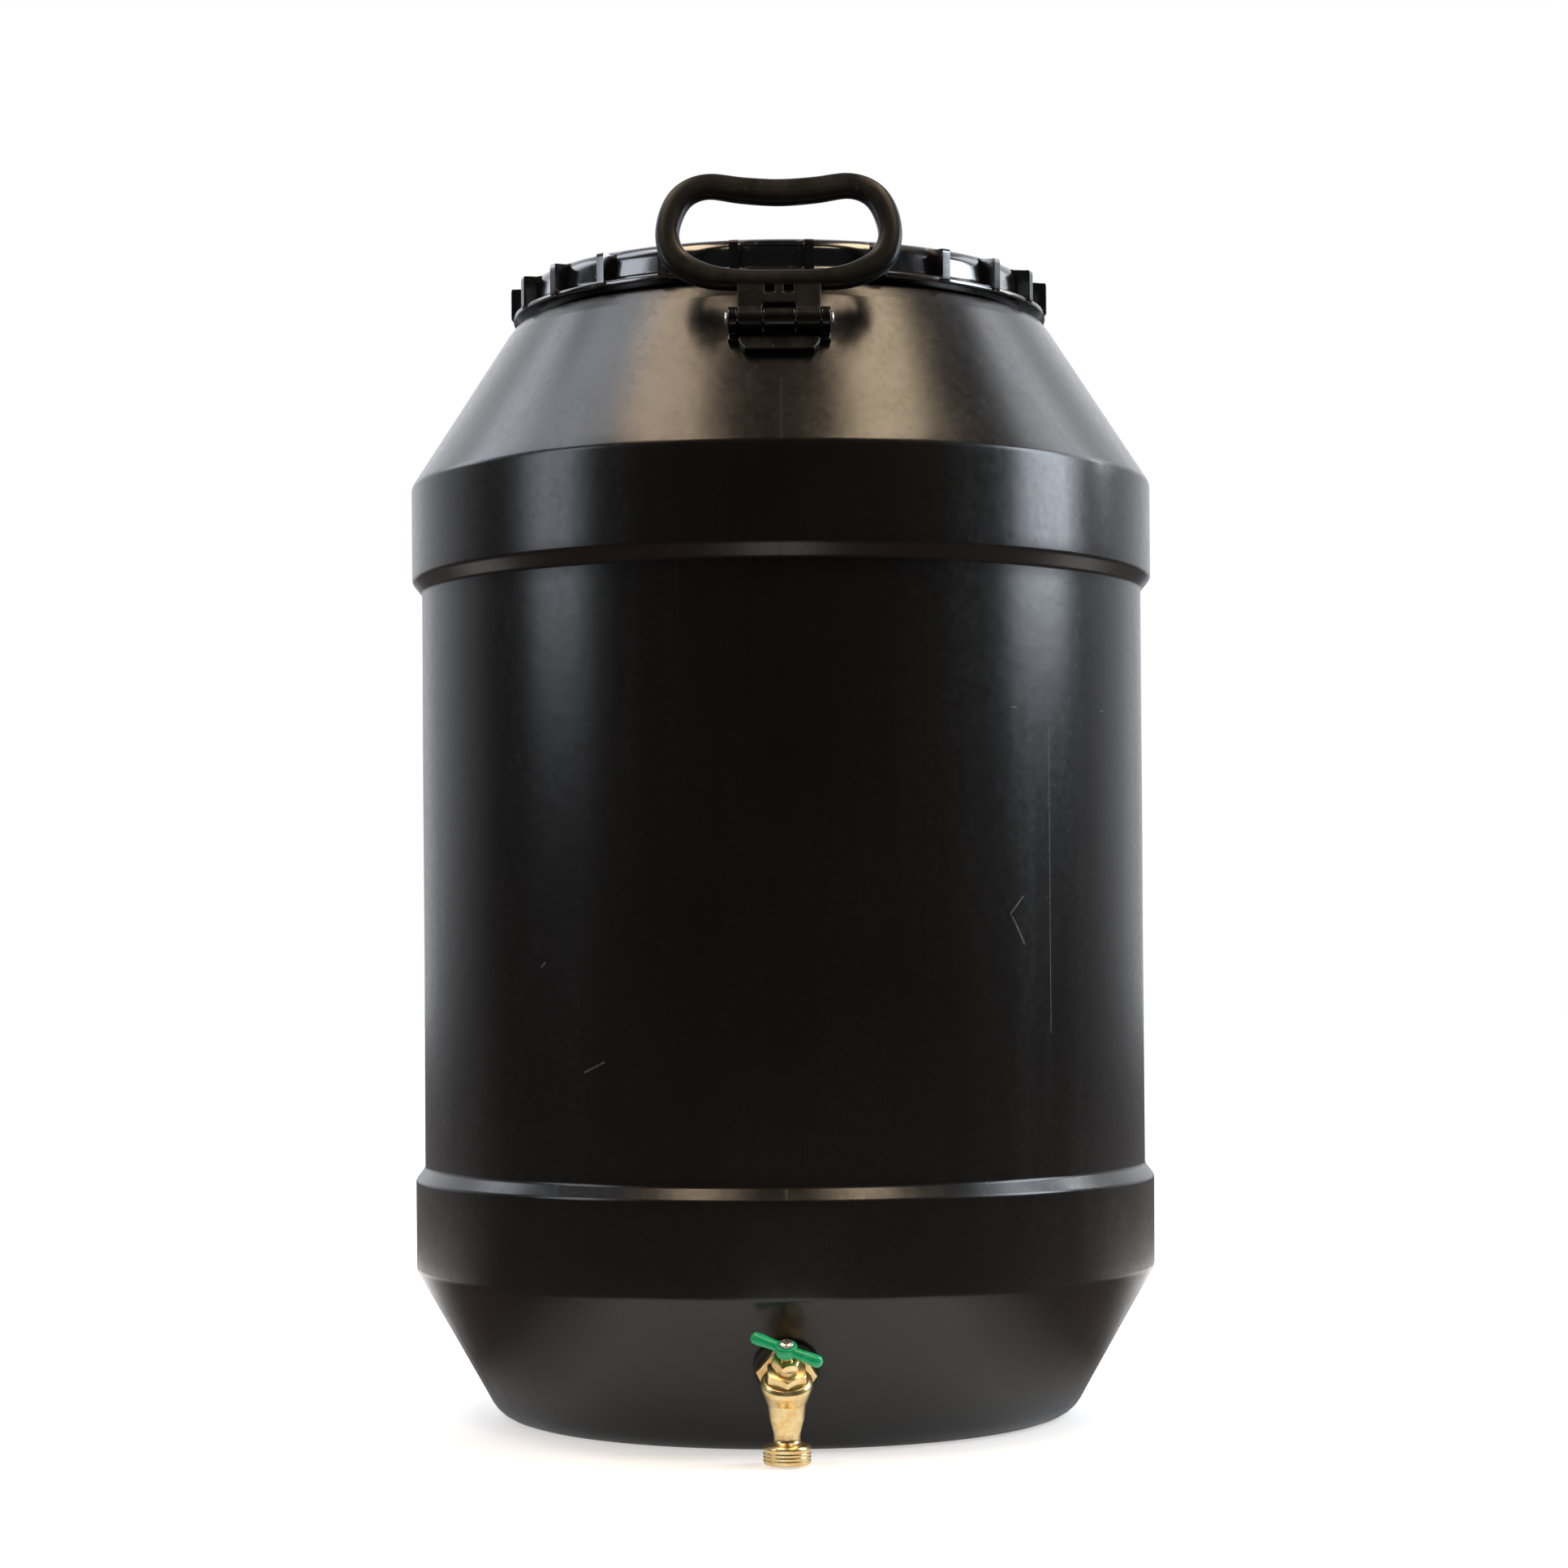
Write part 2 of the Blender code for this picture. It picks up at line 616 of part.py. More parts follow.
def slope_matrix():
    """From (sideways, down the upper cone, out of it) under the pin, to the drum's space."""
    tilt = UPPER_CONE_TILT
    down = Vector((0, -math.sin(tilt), -math.cos(tilt)))
    out = Vector((0, -math.cos(tilt), math.sin(tilt)))
    pin = Vector((0, PIN_Y, PIN_Z)) * MM
    cone_y = -(COLLAR_R + (CONE_TOP - PIN_Z) * math.tan(tilt))
    height = (cone_y - PIN_Y) * math.cos(tilt)
    foot = pin - out * height * MM
    rows = Matrix.Identity(4)
    for column, axis in enumerate((Vector((1, 0, 0)), down, out)):
        for row in range(3):
            rows[row][column] = axis[row]
    return Matrix.Translation(foot) @ rows, height


def raised_knuckle(left, right, height):
    """A knuckle on the X axis at the pin's height over the cone."""
    return moved(on_axis(rod(KNUCKLE_R, left, right), "X"), Matrix.Translation((0, 0, height * MM)))


def bracket_pieces():
    """The moulded bracket: foot, lower lug, middle knuckle, two ears and the loop's stop."""
    place, pin_height = slope_matrix()
    root = BRACKET_ROOT + 3 * SINK
    pieces = [
        block(FOOT_LOW, FOOT_HIGH),
        prism(LUG_OUTLINE, BRACKET_ROOT + SINK, LUG_TOP),
        block(STOP_LOW, STOP_HIGH),
        block((-KNUCKLE_HALF, -MIDDLE_HALF, root), (KNUCKLE_HALF, MIDDLE_HALF, pin_height)),
        raised_knuckle(-KNUCKLE_HALF - SINK / 2, KNUCKLE_HALF + SINK / 2, pin_height),
    ]
    for side in (-1, 1):
        left, right = sorted((side * EAR_INNER, side * (EAR_OUTER - SINK)))
        pieces.append(block((left, -EAR_HALF, root + SINK), (right, EAR_HALF, pin_height)))
        pieces.append(raised_knuckle(left - SINK / 2, right + SINK / 2, pin_height))
    return [moved(piece, place) for piece in pieces]


def bracket_cuts():
    """The drum's upper cone with its clearance, and the pin's hole."""
    lift = GAP / math.cos(UPPER_CONE_TILT)
    cone = [(0, UPPER_BAND_TOP), (BAND_R + lift, UPPER_BAND_TOP), (COLLAR_R + lift, CONE_TOP), (0, CONE_TOP)]
    pin = Matrix.Translation(Vector((0, PIN_Y, PIN_Z)) * MM)
    return [lathe(cone, DRUM_SEGMENTS), moved(on_axis(rod(PIN_R + GAP, -THROUGH, THROUGH, 16), "X"), pin)]


def build_handles(loop_plastic, bracket_plastic, steel):
    """A loop, its pin and its bracket at the front, and the same three at the rear."""
    bracket = solid("front_handle_bracket", bracket_plastic, bracket_pieces(), bracket_cuts())
    loop = solid("front_handle", loop_plastic, handle_mesh_pieces(), handle_cuts())
    pin = solid("front_handle_pin", steel, [on_axis(lathe(PIN_OUTLINE, 16), "X")])
    for piece in (loop, pin):
        piece.location = Vector((0, PIN_Y, PIN_Z)) * MM
    loop.rotation_euler = (-LOOP_LEAN, 0, 0)
    rear_side = guide("rear_handle_side", rotation=(0, 0, math.pi))
    for piece in (bracket, loop, pin):
        copy = piece.copy()
        copy.name = piece.name.replace("front", "rear")
        copy.parent = rear_side
        bpy.context.scene.collection.objects.link(copy)


# ---------------------------------------------------------------- wall fittings

def seals(name, frame, rubber, nut_finish):
    """The outer gasket, inner gasket and lock nut of a fitting through the wall."""
    outer = on_axis(washer(HOLE_R, GASKET_R, GASKET_OUT, -GAP), "Y")
    inner = on_axis(washer(HOLE_R, GASKET_R - 2, INNER_SEAL, INNER_SEAL + SEAL_THICK), "Y")
    nut = on_axis(hexagon(NUT_R, NUT_LOW, NUT_HIGH), "Y")
    hole = on_axis(rod(SHANK_R + GAP, -THROUGH, THROUGH, 24), "Y")
    solid(f"{name}_outer_gasket", rubber, [outer], parent=frame)
    solid(f"{name}_inner_gasket", rubber, [inner], parent=frame)
    solid(f"{name}_lock_nut", nut_finish, [nut], [hole], parent=frame)


def build_tap(frame, brass, green, rubber, steel):
    """The tap, in a frame whose origin is where its stem crosses its inlet and whose Z is the stem."""
    centre = guide("tap_centre", location=(0, -TAP_REACH, 0), parent=frame)
    spout_turn = Matrix.Rotation(math.pi - LOWER_CONE_TILT, 4, "X")
    flange = hexagon(FLANGE_R, TAP_REACH + FLANGE_FRONT, TAP_REACH + FLANGE_BACK, FLANGE_TURN)
    pieces = [
        lathe(BELLY, 20),
        moved(lathe(SPOUT, 20), spout_turn),
        on_axis(rod(INLET_ROD_R, 0.5, TAP_REACH - 8), "Y"),
        on_axis(flange, "Y"),
        on_axis(rod(SHANK_R, TAP_REACH - SHANK_BURY, TAP_REACH + SHANK_LENGTH, 24), "Y"),
    ]
    cuts = [
        rod(CHAMBER_R, SEAT_Z, THROUGH),
        rod(INLET_BORE_R, BELLY[0][1], 0),
        moved(rod(SPOUT_BORE_R, SPOUT_BORE_START, SPOUT_LENGTH + 2), spout_turn),
        on_axis(rod(INLET_BORE_R, 0, TAP_REACH + THROUGH), "Y"),
    ]
    solid("tap_body", brass, pieces, cuts, centre)

    stem_hole = (STEM_HOLE_R, -THROUGH, THROUGH)
    bonnet = [rod(*BONNET_SPIGOT, 24), hexagon(*BONNET_HEX), rod(*BONNET_NECK, 24)]
    solid("tap_bonnet", brass, bonnet, [rod(*stem_hole), rod(RECESS_R, PACKING_BOTTOM, THROUGH)], centre)
    packing = washer(STEM_HOLE_R, PACKING_R, PACKING_BOTTOM + GAP, PACKING_TOP, 20)
    solid("tap_packing", rubber, [packing], parent=centre)
    solid("tap_packing_nut", brass, [hexagon(*PACKING_NUT_HEX)], [rod(*stem_hole)], centre)
    solid("tap_stem", brass, [lathe(STEM, 20)], [rod(*hole, 12) for hole in STEM_SCREW_HOLES], centre)
    solid("tap_seat_washer", rubber, [washer(*SEAT_WASHER, 20)], parent=centre)
    solid("tap_seat_screw", steel, [lathe(SEAT_SCREW, 12)], parent=centre)

    arms = moved(on_axis(lathe(BAR, 12), "X"), Matrix.Translation((0, 0, BAR_Z * MM)))
    bar = moved(arms, Matrix.Rotation(BAR_TURN, 4, "Z"))
    solid("tap_handle", green, [lathe(HUB, 20), bar], [rod(STEM_R + GAP, 0, THROUGH + HUB_TOP)], centre)
    solid("tap_handle_screw", steel, [lathe(CAP_SCREW, 12)], parent=centre)
    seals("tap", frame, rubber, brass)


def build_overflow(frame, plastic, rubber):
    """The barbed overflow spigot near the top of the rear wall."""
    pieces = [
        on_axis(lathe([(r, -z) for r, z in BARBED_TAIL], 20), "Y"),
        on_axis(hexagon(FLANGE_R, FLANGE_FRONT, FLANGE_BACK), "Y"),
        on_axis(rod(SHANK_R, -SHANK_BURY, SHANK_LENGTH, 24), "Y"),
    ]
    bore = on_axis(rod(OVERFLOW_BORE_R, -2 * THROUGH, THROUGH), "Y")
    solid("overflow_fitting", plastic, pieces, [bore], frame)
    seals("overflow", frame, rubber, plastic)


# ---------------------------------------------------------------- whole barrel

def build():
    """Make every piece of the rain barrel."""
    for old in list(bpy.data.objects):
        bpy.data.objects.remove(old)
    drum_plastic = material("drum_black", (0.012, 0.012, 0.013), 0.42)
    lid_plastic = material("lid_black", (0.010, 0.010, 0.011), 0.25)
    cover_plastic = material("cover_black", (0.014, 0.014, 0.015), 0.38)
    loop_plastic = material("loop_black", (0.020, 0.019, 0.018), 0.35)
    bracket_plastic = material("bracket_black", (0.008, 0.009, 0.011), 0.25)
    fitting_plastic = material("fitting_black", (0.015, 0.015, 0.016), 0.40)
    rubber = material("rubber_black", (0.020, 0.020, 0.020), 0.75)
    steel = material("steel", (0.62, 0.61, 0.58), 0.30, 1.0)
    mesh_metal = material("screen_metal", (0.55, 0.56, 0.57), 0.40, 1.0)
    brass = material("brass", (0.83, 0.62, 0.27), 0.28, 1.0)
    green = material("tap_green", (0.004, 0.240, 0.085), 0.30)

    tap_frame = fitting_frame("tap_frame", lower_cone_r(INLET_Z), INLET_Z, LOWER_CONE_TILT, 0)
    overflow_frame = fitting_frame("overflow_frame", BAND_R, OVERFLOW_Z, 0, math.pi)
    build_drum(drum_plastic, tap_frame, overflow_frame)
    build_lid_ring(lid_plastic)
    build_lid_cover(cover_plastic, rubber, steel, mesh_metal)
    build_handles(loop_plastic, bracket_plastic, steel)
    build_tap(tap_frame, brass, green, rubber, steel)
    build_overflow(overflow_frame, fitting_plastic, rubber)


build()
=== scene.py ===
"""Looks of the rain barrel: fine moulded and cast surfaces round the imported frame, and a pale studio."""

import json
import math

import bmesh
import bpy
from mathutils import Matrix, Vector, noise


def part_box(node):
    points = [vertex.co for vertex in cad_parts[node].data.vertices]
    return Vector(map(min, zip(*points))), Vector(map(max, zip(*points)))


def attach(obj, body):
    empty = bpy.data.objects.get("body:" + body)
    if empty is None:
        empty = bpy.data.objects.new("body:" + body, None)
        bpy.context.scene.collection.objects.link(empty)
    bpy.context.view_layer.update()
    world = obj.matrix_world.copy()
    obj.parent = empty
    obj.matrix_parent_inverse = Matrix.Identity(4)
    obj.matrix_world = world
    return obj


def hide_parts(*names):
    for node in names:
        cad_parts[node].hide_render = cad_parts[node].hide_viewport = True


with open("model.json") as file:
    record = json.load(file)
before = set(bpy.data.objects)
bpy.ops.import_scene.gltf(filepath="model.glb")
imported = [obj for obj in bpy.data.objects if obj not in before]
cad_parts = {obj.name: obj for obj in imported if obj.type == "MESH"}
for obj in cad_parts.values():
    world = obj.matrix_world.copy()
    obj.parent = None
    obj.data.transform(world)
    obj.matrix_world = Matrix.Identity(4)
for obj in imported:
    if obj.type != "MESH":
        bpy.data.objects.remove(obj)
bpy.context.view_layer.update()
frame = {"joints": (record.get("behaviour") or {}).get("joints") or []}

TURN = 2 * math.pi
drum_low, drum_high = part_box("drum_shell")
BAND_R = 305.0
MM = (drum_high.x - drum_low.x) / 2 / BAND_R  # one millimetre of the drum's drawing, in metres
JOINTS = {joint["name"]: joint for joint in frame["joints"]}

# Drum, mm
WALL = 4.8
WALL_R = 297.0
FOOT_R = 235.9
FOOT_RING_R = 190.0
FOOT_RECESS = 3.0
LOWER_CONE_TOP = 122.6
LOWER_BAND_TOP = 196.0
UPPER_BAND_BOTTOM = 686.0
UPPER_BAND_TOP = 762.0
BAND_STEP = 10.0
COLLAR_R = 226.0
CONE_TOP = 884.0
COLLAR_TOP = 895.0
COLLAR_LEAN = 8.5
NECK_R = 196.0
NECK_TOP = drum_high.z / MM
LOWER_TILT = math.atan2(BAND_R - FOOT_R, LOWER_CONE_TOP)
UPPER_TILT = math.atan2(BAND_R - COLLAR_R, CONE_TOP - UPPER_BAND_TOP)
DRUM_COLUMNS = 192
SEAM_HEIGHT = 0.13
SEAM_HALF = 0.9
DENT_DEPTH = 0.7
SEAM_BREAKS = [(853, 45), (68, 45), (724, 40)]  # height and half length where parts cover the seam
POCKET_SIDE = 46
POCKET_Z = 857
POCKET_DEPTH = 2.6

# Lid, mm
LID_BOTTOM, LID_TOP = (corner.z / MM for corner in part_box("lid_ring"))
LID_MOUTH_R = 186.0
LID_LIP_R = 202.6
LID_BORE_R = 201.5
RIB_COUNT = 24
RIB_FIRST_ANGLE = 6.0
RIB_GAP_STEPS = 8
THREAD_PITCH = 10.0
THREAD_START_Z = 903.0
THREAD_ROOT = 1.5
NECK_THREAD_R = 200.0
LID_THREAD_R = 197.5
COVER_R = 199.5
INLET_R = 75.0
GRILLE_R = 84.0
GRILLE_SLOT = 9.0
GRILLE_BAR = 4.0
GRILLE_SPOKE = 6.0
SCREW_CIRCLE_R = 79.5
SCREW_COUNT = 4
WIRE_PITCH = 2.6
WIRE_R = 0.14

# Carrying loops, mm
LOOP_LEAN = math.radians(18)
LOOP_DEPTH = 13.0
NECK_DEPTH = 11.0
NECK_HALF = 31.6
KNUCKLE_HALF = 12.0
EAR_INNER = 32.2
EAR_OUTER = 39.0
PIN_R = 3.2

# Fittings, mm
TAP_REACH = 36.0
SHANK_R = 13.0
HOLE_R = 13.6
GASKET_R = 25.0
GASKET_THICK = 4.3
FLANGE_HEX = 23.2
FLANGE_REACH = 11.6
LOCK_NUT_HEX = 22.0
SPOUT_LENGTH = 50.3
STEM_R = 4.6
STEM_TOP = 46.2
HUB_TOP = 46.5
BAR_HALF = 30.4
BAR_TURN = math.radians(-33)
GAP = 0.3


# -------- outlines

def fillet(before, corner, after, radius, steps):
    """Points of an arc that rounds one corner of an outline."""
    corner = Vector(corner)
    back = (Vector(before) - corner).normalized()
    ahead = (Vector(after) - corner).normalized()
    half = math.acos(max(-1.0, min(1.0, back.dot(ahead)))) / 2
    reach = radius / math.tan(half)
    centre = corner + (back + ahead).normalized() * (radius / math.sin(half))
    start = corner + back * reach - centre
    end = corner + ahead * reach - centre
    sweep = start.angle_signed(end)
    return [tuple(centre + Matrix.Rotation(-sweep * i / steps, 2) @ start) for i in range(steps + 1)]


def rounded(corners, steps=4, longest=1e9, closed=False):
    """An outline from (radius, height, fillet) corners: arcs at the corners, long runs divided."""
    count = len(corners)
    points = []
    for i, corner in enumerate(corners):
        end = not closed and i in (0, count - 1)
        if corner[2] > 0 and not end:
            points += fillet(corners[i - 1][:2], corner[:2], corners[(i + 1) % count][:2], corner[2], steps)
        else:
            points.append(tuple(corner[:2]))
    result = []
    for i, point in enumerate(points):
        result.append(point)
        if i + 1 < len(points) or closed:
            following = points[(i + 1) % len(points)]
            parts = math.ceil(math.dist(point, following) / longest)
            for k in range(1, parts):
                t = k / parts
                result.append(tuple(a + (b - a) * t for a, b in zip(point, following)))
    return result


def inset(corners, distance):
    """The same corners moved to their left by a distance, with each fillet kept parallel."""
    points = [Vector(c[:2]) for c in corners]
    steps = [(b - a).normalized() for a, b in zip(points, points[1:])]
    normals = [Vector((-s.y, s.x)) for s in steps]
    shifted = [points[0] + normals[0] * distance]
    for point, first, second in zip(points[1:], normals, normals[1:]):
        shifted.append(point + (first + second) * (distance / (1 + first.dot(second))))
    shifted.append(points[-1] + normals[-1] * distance)
    result = []
    for index, (point, corner) in enumerate(zip(shifted, corners)):
        radius = corner[2]
        if radius > 0 and 0 < index < len(corners) - 1:
            bend = steps[index - 1].cross(steps[index])
            radius = max(radius - math.copysign(distance, bend), 2.0)
        result.append((point.x, point.y, radius))
    return result


# -------- meshes, in metres

def add_skin(mesh, rings, loop=True, caps=False):
    """Skin a row of matching rings of points in mm into a mesh, and return the rings' vertices."""
    rows = [[mesh.verts.new(Vector(p) * MM) for p in ring] for ring in rings]
    following = rows[1:] + rows[:1] if loop else rows[1:]
    for first, second in zip(rows, following):
        count = len(first)
        for i in range(count):
            j = (i + 1) % count
            mesh.faces.new((first[i], first[j], second[j], second[i]))
    if caps:
        mesh.faces.new(rows[0])
        mesh.faces.new(rows[-1])
    return rows


def outward(mesh):
    """The same mesh with its faces turned outward."""
    bmesh.ops.recalc_face_normals(mesh, faces=mesh.faces)
    return mesh


def skin(rings, loop=True, caps=False):
    """A mesh skinned over a row of rings."""
    mesh = bmesh.new()
    add_skin(mesh, rings, loop, caps)
    return outward(mesh)


def around(angle, points):
    """Points at (radius, height) pairs, all at one angle round the Z axis."""
    return [(r * math.cos(angle), r * math.sin(angle), z) for r, z in points]


def lathe(outline, segments=64, closed=False):
    """Turn a (radius, height) outline in mm about Z. An open one ends on the axis."""
    mesh = bmesh.new()
    verts = [mesh.verts.new((r * MM, 0, z * MM)) for r, z in outline]
    pairs = list(zip(verts, verts[1:]))
    if closed:
        pairs.append((verts[-1], verts[0]))
    edges = [mesh.edges.new(pair) for pair in pairs]
    bmesh.ops.spin(
        mesh, geom=verts + edges, cent=(0, 0, 0), axis=(0, 0, 1),
        angle=TURN, steps=segments, use_merge=True,
    )
    bmesh.ops.remove_doubles(mesh, verts=mesh.verts, dist=1e-6)
    return outward(mesh)


def turned(corners, segments, steps=3):
    """A solid turned about Z from (radius, height, fillet) corners that end on the axis."""
    return lathe(rounded(corners, steps), segments)


def rod(radius, low, high, edge=0.0, segments=48):
    """A solid cylinder on the Z axis, with rounded ends."""
    return turned([(0, low, 0), (radius, low, edge), (radius, high, edge), (0, high, 0)], segments)


def washer(inner, outer, low, high, edge=0.5, segments=72):
    """A flat ring on the Z axis with rounded edges."""
    corners = [(outer, low, edge), (outer, high, edge), (inner, high, edge / 2), (inner, low, edge / 2)]
    return lathe(rounded(corners, 3, closed=True), segments, closed=True)


def prism(outline, low, high):
    """An (x, y) outline in mm raised from one height to another."""
    mesh = bmesh.new()
    face = mesh.faces.new([mesh.verts.new((x * MM, y * MM, low * MM)) for x, y in outline])
    raised = bmesh.ops.extrude_face_region(mesh, geom=[face])
    top = [v for v in raised["geom"] if isinstance(v, bmesh.types.BMVert)]
    bmesh.ops.translate(mesh, vec=(0, 0, (high - low) * MM), verts=top)
    return outward(mesh)


def block(low, high):
    """A box between two corners in mm."""
    (x0, y0, z0), (x1, y1, z1) = low, high
    return prism([(x0, y0), (x1, y0), (x1, y1), (x0, y1)], z0, z1)


def both_sides(near, far):
    """The stretch between two distances, to the left of the middle and to the right."""
    return (-far, -near), (near, far)


def moved(made, matrix):
    """The same bmesh or object, with its points transformed."""
    (made if isinstance(made, bmesh.types.BMesh) else made.data).transform(matrix)
    return made


def lifted(mesh, z):
    """The same mesh moved up by z mm."""
    return moved(mesh, Matrix.Translation((0, 0, z * MM)))


def on_x(made):
    """Turn a shape made on the Z axis onto the X axis."""
    return moved(made, Matrix.Rotation(math.pi / 2, 4, "Y"))


def on_y(made):
    """Turn a shape made on the Z axis onto the Y axis."""
    return moved(made, Matrix.Rotation(-math.pi / 2, 4, "X"))


def add_object(name, data):
    """A new object in the scene for a mesh, light or camera."""
    made = bpy.data.objects.new(name, data)
    bpy.context.scene.collection.objects.link(made)
    return made


def to_object(mesh, name="tool"):
    """An object in the scene from a bmesh."""
    data = bpy.data.meshes.new(name)
    mesh.to_mesh(data)
    mesh.free()
    return add_object(name, data)


def discard(made):
    """Remove an object and its mesh."""
    data = made.data
    bpy.data.objects.remove(made)
    bpy.data.meshes.remove(data)


def applied(target):
    """Give an object its evaluated mesh and clear its modifiers."""
    bpy.context.view_layer.update()
    evaluated = target.evaluated_get(bpy.context.evaluated_depsgraph_get())
    result = bpy.data.meshes.new_from_object(evaluated)
    target.modifiers.clear()
    old, target.data = target.data, result
    bpy.data.meshes.remove(old)
    return target


def combine(target, tool_mesh, operation):
    """Join a mesh to an object, cut it away, or keep what both share."""
    tool = to_object(tool_mesh)
    modifier = target.modifiers.new("shape", "BOOLEAN")
    modifier.operation = operation
    modifier.solver = "EXACT"
    modifier.object = tool
    applied(target)
    discard(tool)


def joined(pieces, cuts=()):
    """One object: the pieces united, then the cuts taken away."""
    made = to_object(pieces[0])
    for added in pieces[1:]:
        combine(made, added, "UNION")
    for cut in cuts:
        combine(made, cut, "DIFFERENCE")
    return made


def moulded(made, voxel, passes):
    """Rebuild a joined shape as one even skin and soften its edges, as a mould or a casting has."""
    remesh = made.modifiers.new("skin", "REMESH")
    remesh.mode = "VOXEL"
    remesh.voxel_size = voxel * MM
    smooth = made.modifiers.new("soften", "SMOOTH")
    smooth.factor = 0.5
    smooth.iterations = passes
    return applied(made)


def bevelled(made, width):
    """Round every sharp edge of a machined piece."""
    bevel = made.modifiers.new("edges", "BEVEL")
    bevel.width = width * MM
    bevel.segments = 2
    bevel.limit_method = "ANGLE"
    bevel.angle_limit = math.radians(40)
    return applied(made)


def hex_nut(circumradius, low, high, turn=0.0, bore=0.0, chamfer=0.10):
    """A hexagon with turned chamfers at both ends."""
    corners = [turn + TURN * i / 6 for i in range(6)]
    outline = [(circumradius * math.cos(a), circumradius * math.sin(a)) for a in corners]
    made = to_object(prism(outline, low, high))
    drop = circumradius * chamfer
    face = circumradius * 0.87
    wide = circumradius * 1.02
    limits = [(0, low - 0.01), (face, low - 0.01), (wide, low + drop), (wide, high - drop),
              (face, high + 0.01), (0, high + 0.01)]
    combine(made, lathe(limits, 96), "INTERSECT")
    if bore:
        combine(made, rod(bore, low - 5, high + 5), "DIFFERENCE")
    return made


def as_mesh(made):
    """The bmesh of an object, which is removed."""
    mesh = bmesh.new()
    mesh.from_mesh(made.data)
    discard(made)
    return mesh


# -------- pieces

def piece(name, made, body, slot, node, sharp=35):
    """Finish a visible piece: its name, the material of its slot, smooth shading and body; the node it stands
    for is hidden.
    """
    if isinstance(made, bmesh.types.BMesh):
        made = to_object(made)
    made.name = name
    made.data.name = name
    made.data.materials.clear()
    made.data.materials.append(FINISHES[slot])
    made.data.shade_smooth()
    made.data.set_sharp_from_angle(angle=math.radians(sharp))
    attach(made, body)
    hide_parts(node)


# -------- materials

def add_node(tree, kind, inputs=(), **settings):
    """A node with its settings and its inputs, each a value or another node's output."""
    made = tree.nodes.new(kind)
    for setting, value in settings.items():
        setattr(made, setting, value)
    for socket, value in dict(inputs).items():
        if isinstance(value, bpy.types.NodeSocket):
            tree.links.new(value, made.inputs[socket])
        else:
            made.inputs[socket].default_value = value
    return made


class Finish:
    """A Principled material, built up from procedural layers in the object's own space."""

    def __init__(self, name, roughness, metallic=0.0, **sockets):
        self.material = bpy.data.materials.new(name)
        self.material.use_nodes = True
        self.tree = self.material.node_tree
        self.shader = self.tree.nodes["Principled BSDF"]
        self.shader.inputs["Roughness"].default_value = roughness
        self.shader.inputs["Metallic"].default_value = metallic
        for socket, value in sockets.items():
            self.shader.inputs[socket.replace("_", " ")].default_value = value
        self.place = self.node("ShaderNodeTexCoord").outputs["Object"]
        self.bump = None

    def node(self, kind, inputs=(), **settings):
        """A node in this material."""
        return add_node(self.tree, kind, inputs, **settings)

    def maths(self, operation, a, b=0.0, clamp=False):
        """A Math node's result."""
        return self.node("ShaderNodeMath", {0: a, 1: b}, operation=operation, use_clamp=clamp).outputs[0]

    def times(self, a, b):
        """The product of two numbers."""
        return self.maths("MULTIPLY", a, b)

    def vector(self, operation, a, b=(0, 0, 0), output=0):
        """A Vector Math node's result: output 0 is a vector, output 1 a number."""
        return self.node("ShaderNodeVectorMath", {0: a, 1: b}, operation=operation).outputs[output]

    def grain(self, scale, detail=3.0, stretch=(1, 1, 1), shift=0.0):
        """Noise from 0 to 1. A stretch above 1 packs it closer along that axis."""
        shifts = {"Vector": self.place, "Location": (shift, shift, shift), "Scale": stretch}
        spot = self.node("ShaderNodeMapping", shifts).outputs[0]
        noises = {"Vector": spot, "Scale": scale, "Detail": detail, "Roughness": 0.5}
        return self.node("ShaderNodeTexNoise", noises).outputs["Fac"]

    def span(self, value, low, high, to_low=0.0, to_high=1.0):
        """Map the stretch of a value from low to high onto another one, clamped."""
        ends = {"Value": value, "From Min": low, "From Max": high, "To Min": to_low, "To Max": to_high}
        return self.node("ShaderNodeMapRange", ends).outputs[0]

    def blend(self, share, first, second):
        """Mix two colours, each a triple or a node's output."""
        first, second = ((*c, 1.0) if isinstance(c, tuple) else c for c in (first, second))
        return self.node("ShaderNodeMix", {0: share, 6: first, 7: second}, data_type="RGBA").outputs[2]

    def stroke(self, start, end, half_width):
        """1 within a half width of the line between two points, fading to 0 at its edge."""
        start, end = Vector(start) * MM, Vector(end) * MM
        along = end - start
        offset = self.vector("SUBTRACT", self.place, tuple(start))
        share = self.vector("DOT_PRODUCT", offset, tuple(along), 1)
        share = self.maths("DIVIDE", share, along.length_squared, True)
        foot = self.node("ShaderNodeVectorMath", {0: tuple(along), "Scale": share}, operation="SCALE")
        distance = self.vector("LENGTH", self.vector("SUBTRACT", offset, foot.outputs[0]), output=1)
        return self.span(distance, half_width * MM, half_width * MM * 0.3)

    def colour(self, output):
        """Take the base colour from an output."""
        self.tree.links.new(output, self.shader.inputs["Base Color"])

    def roughness(self, output):
        """Take the roughness from an output."""
        self.tree.links.new(output, self.shader.inputs["Roughness"])

    def relief(self, height, depth, strength):
        """Add a layer of bumps, its depth in mm."""
        inputs = {"Height": height, "Distance": depth * MM, "Strength": strength}
        if self.bump:
            inputs["Normal"] = self.bump
        self.bump = self.node("ShaderNodeBump", inputs).outputs[0]
        self.tree.links.new(self.bump, self.shader.inputs["Normal"])


def on_wall(turn, z):
    """A point on the wall: degrees to the right of the front, and height in mm."""
    angle = math.radians(turn)
    return (WALL_R * math.sin(angle), -WALL_R * math.cos(angle), z)


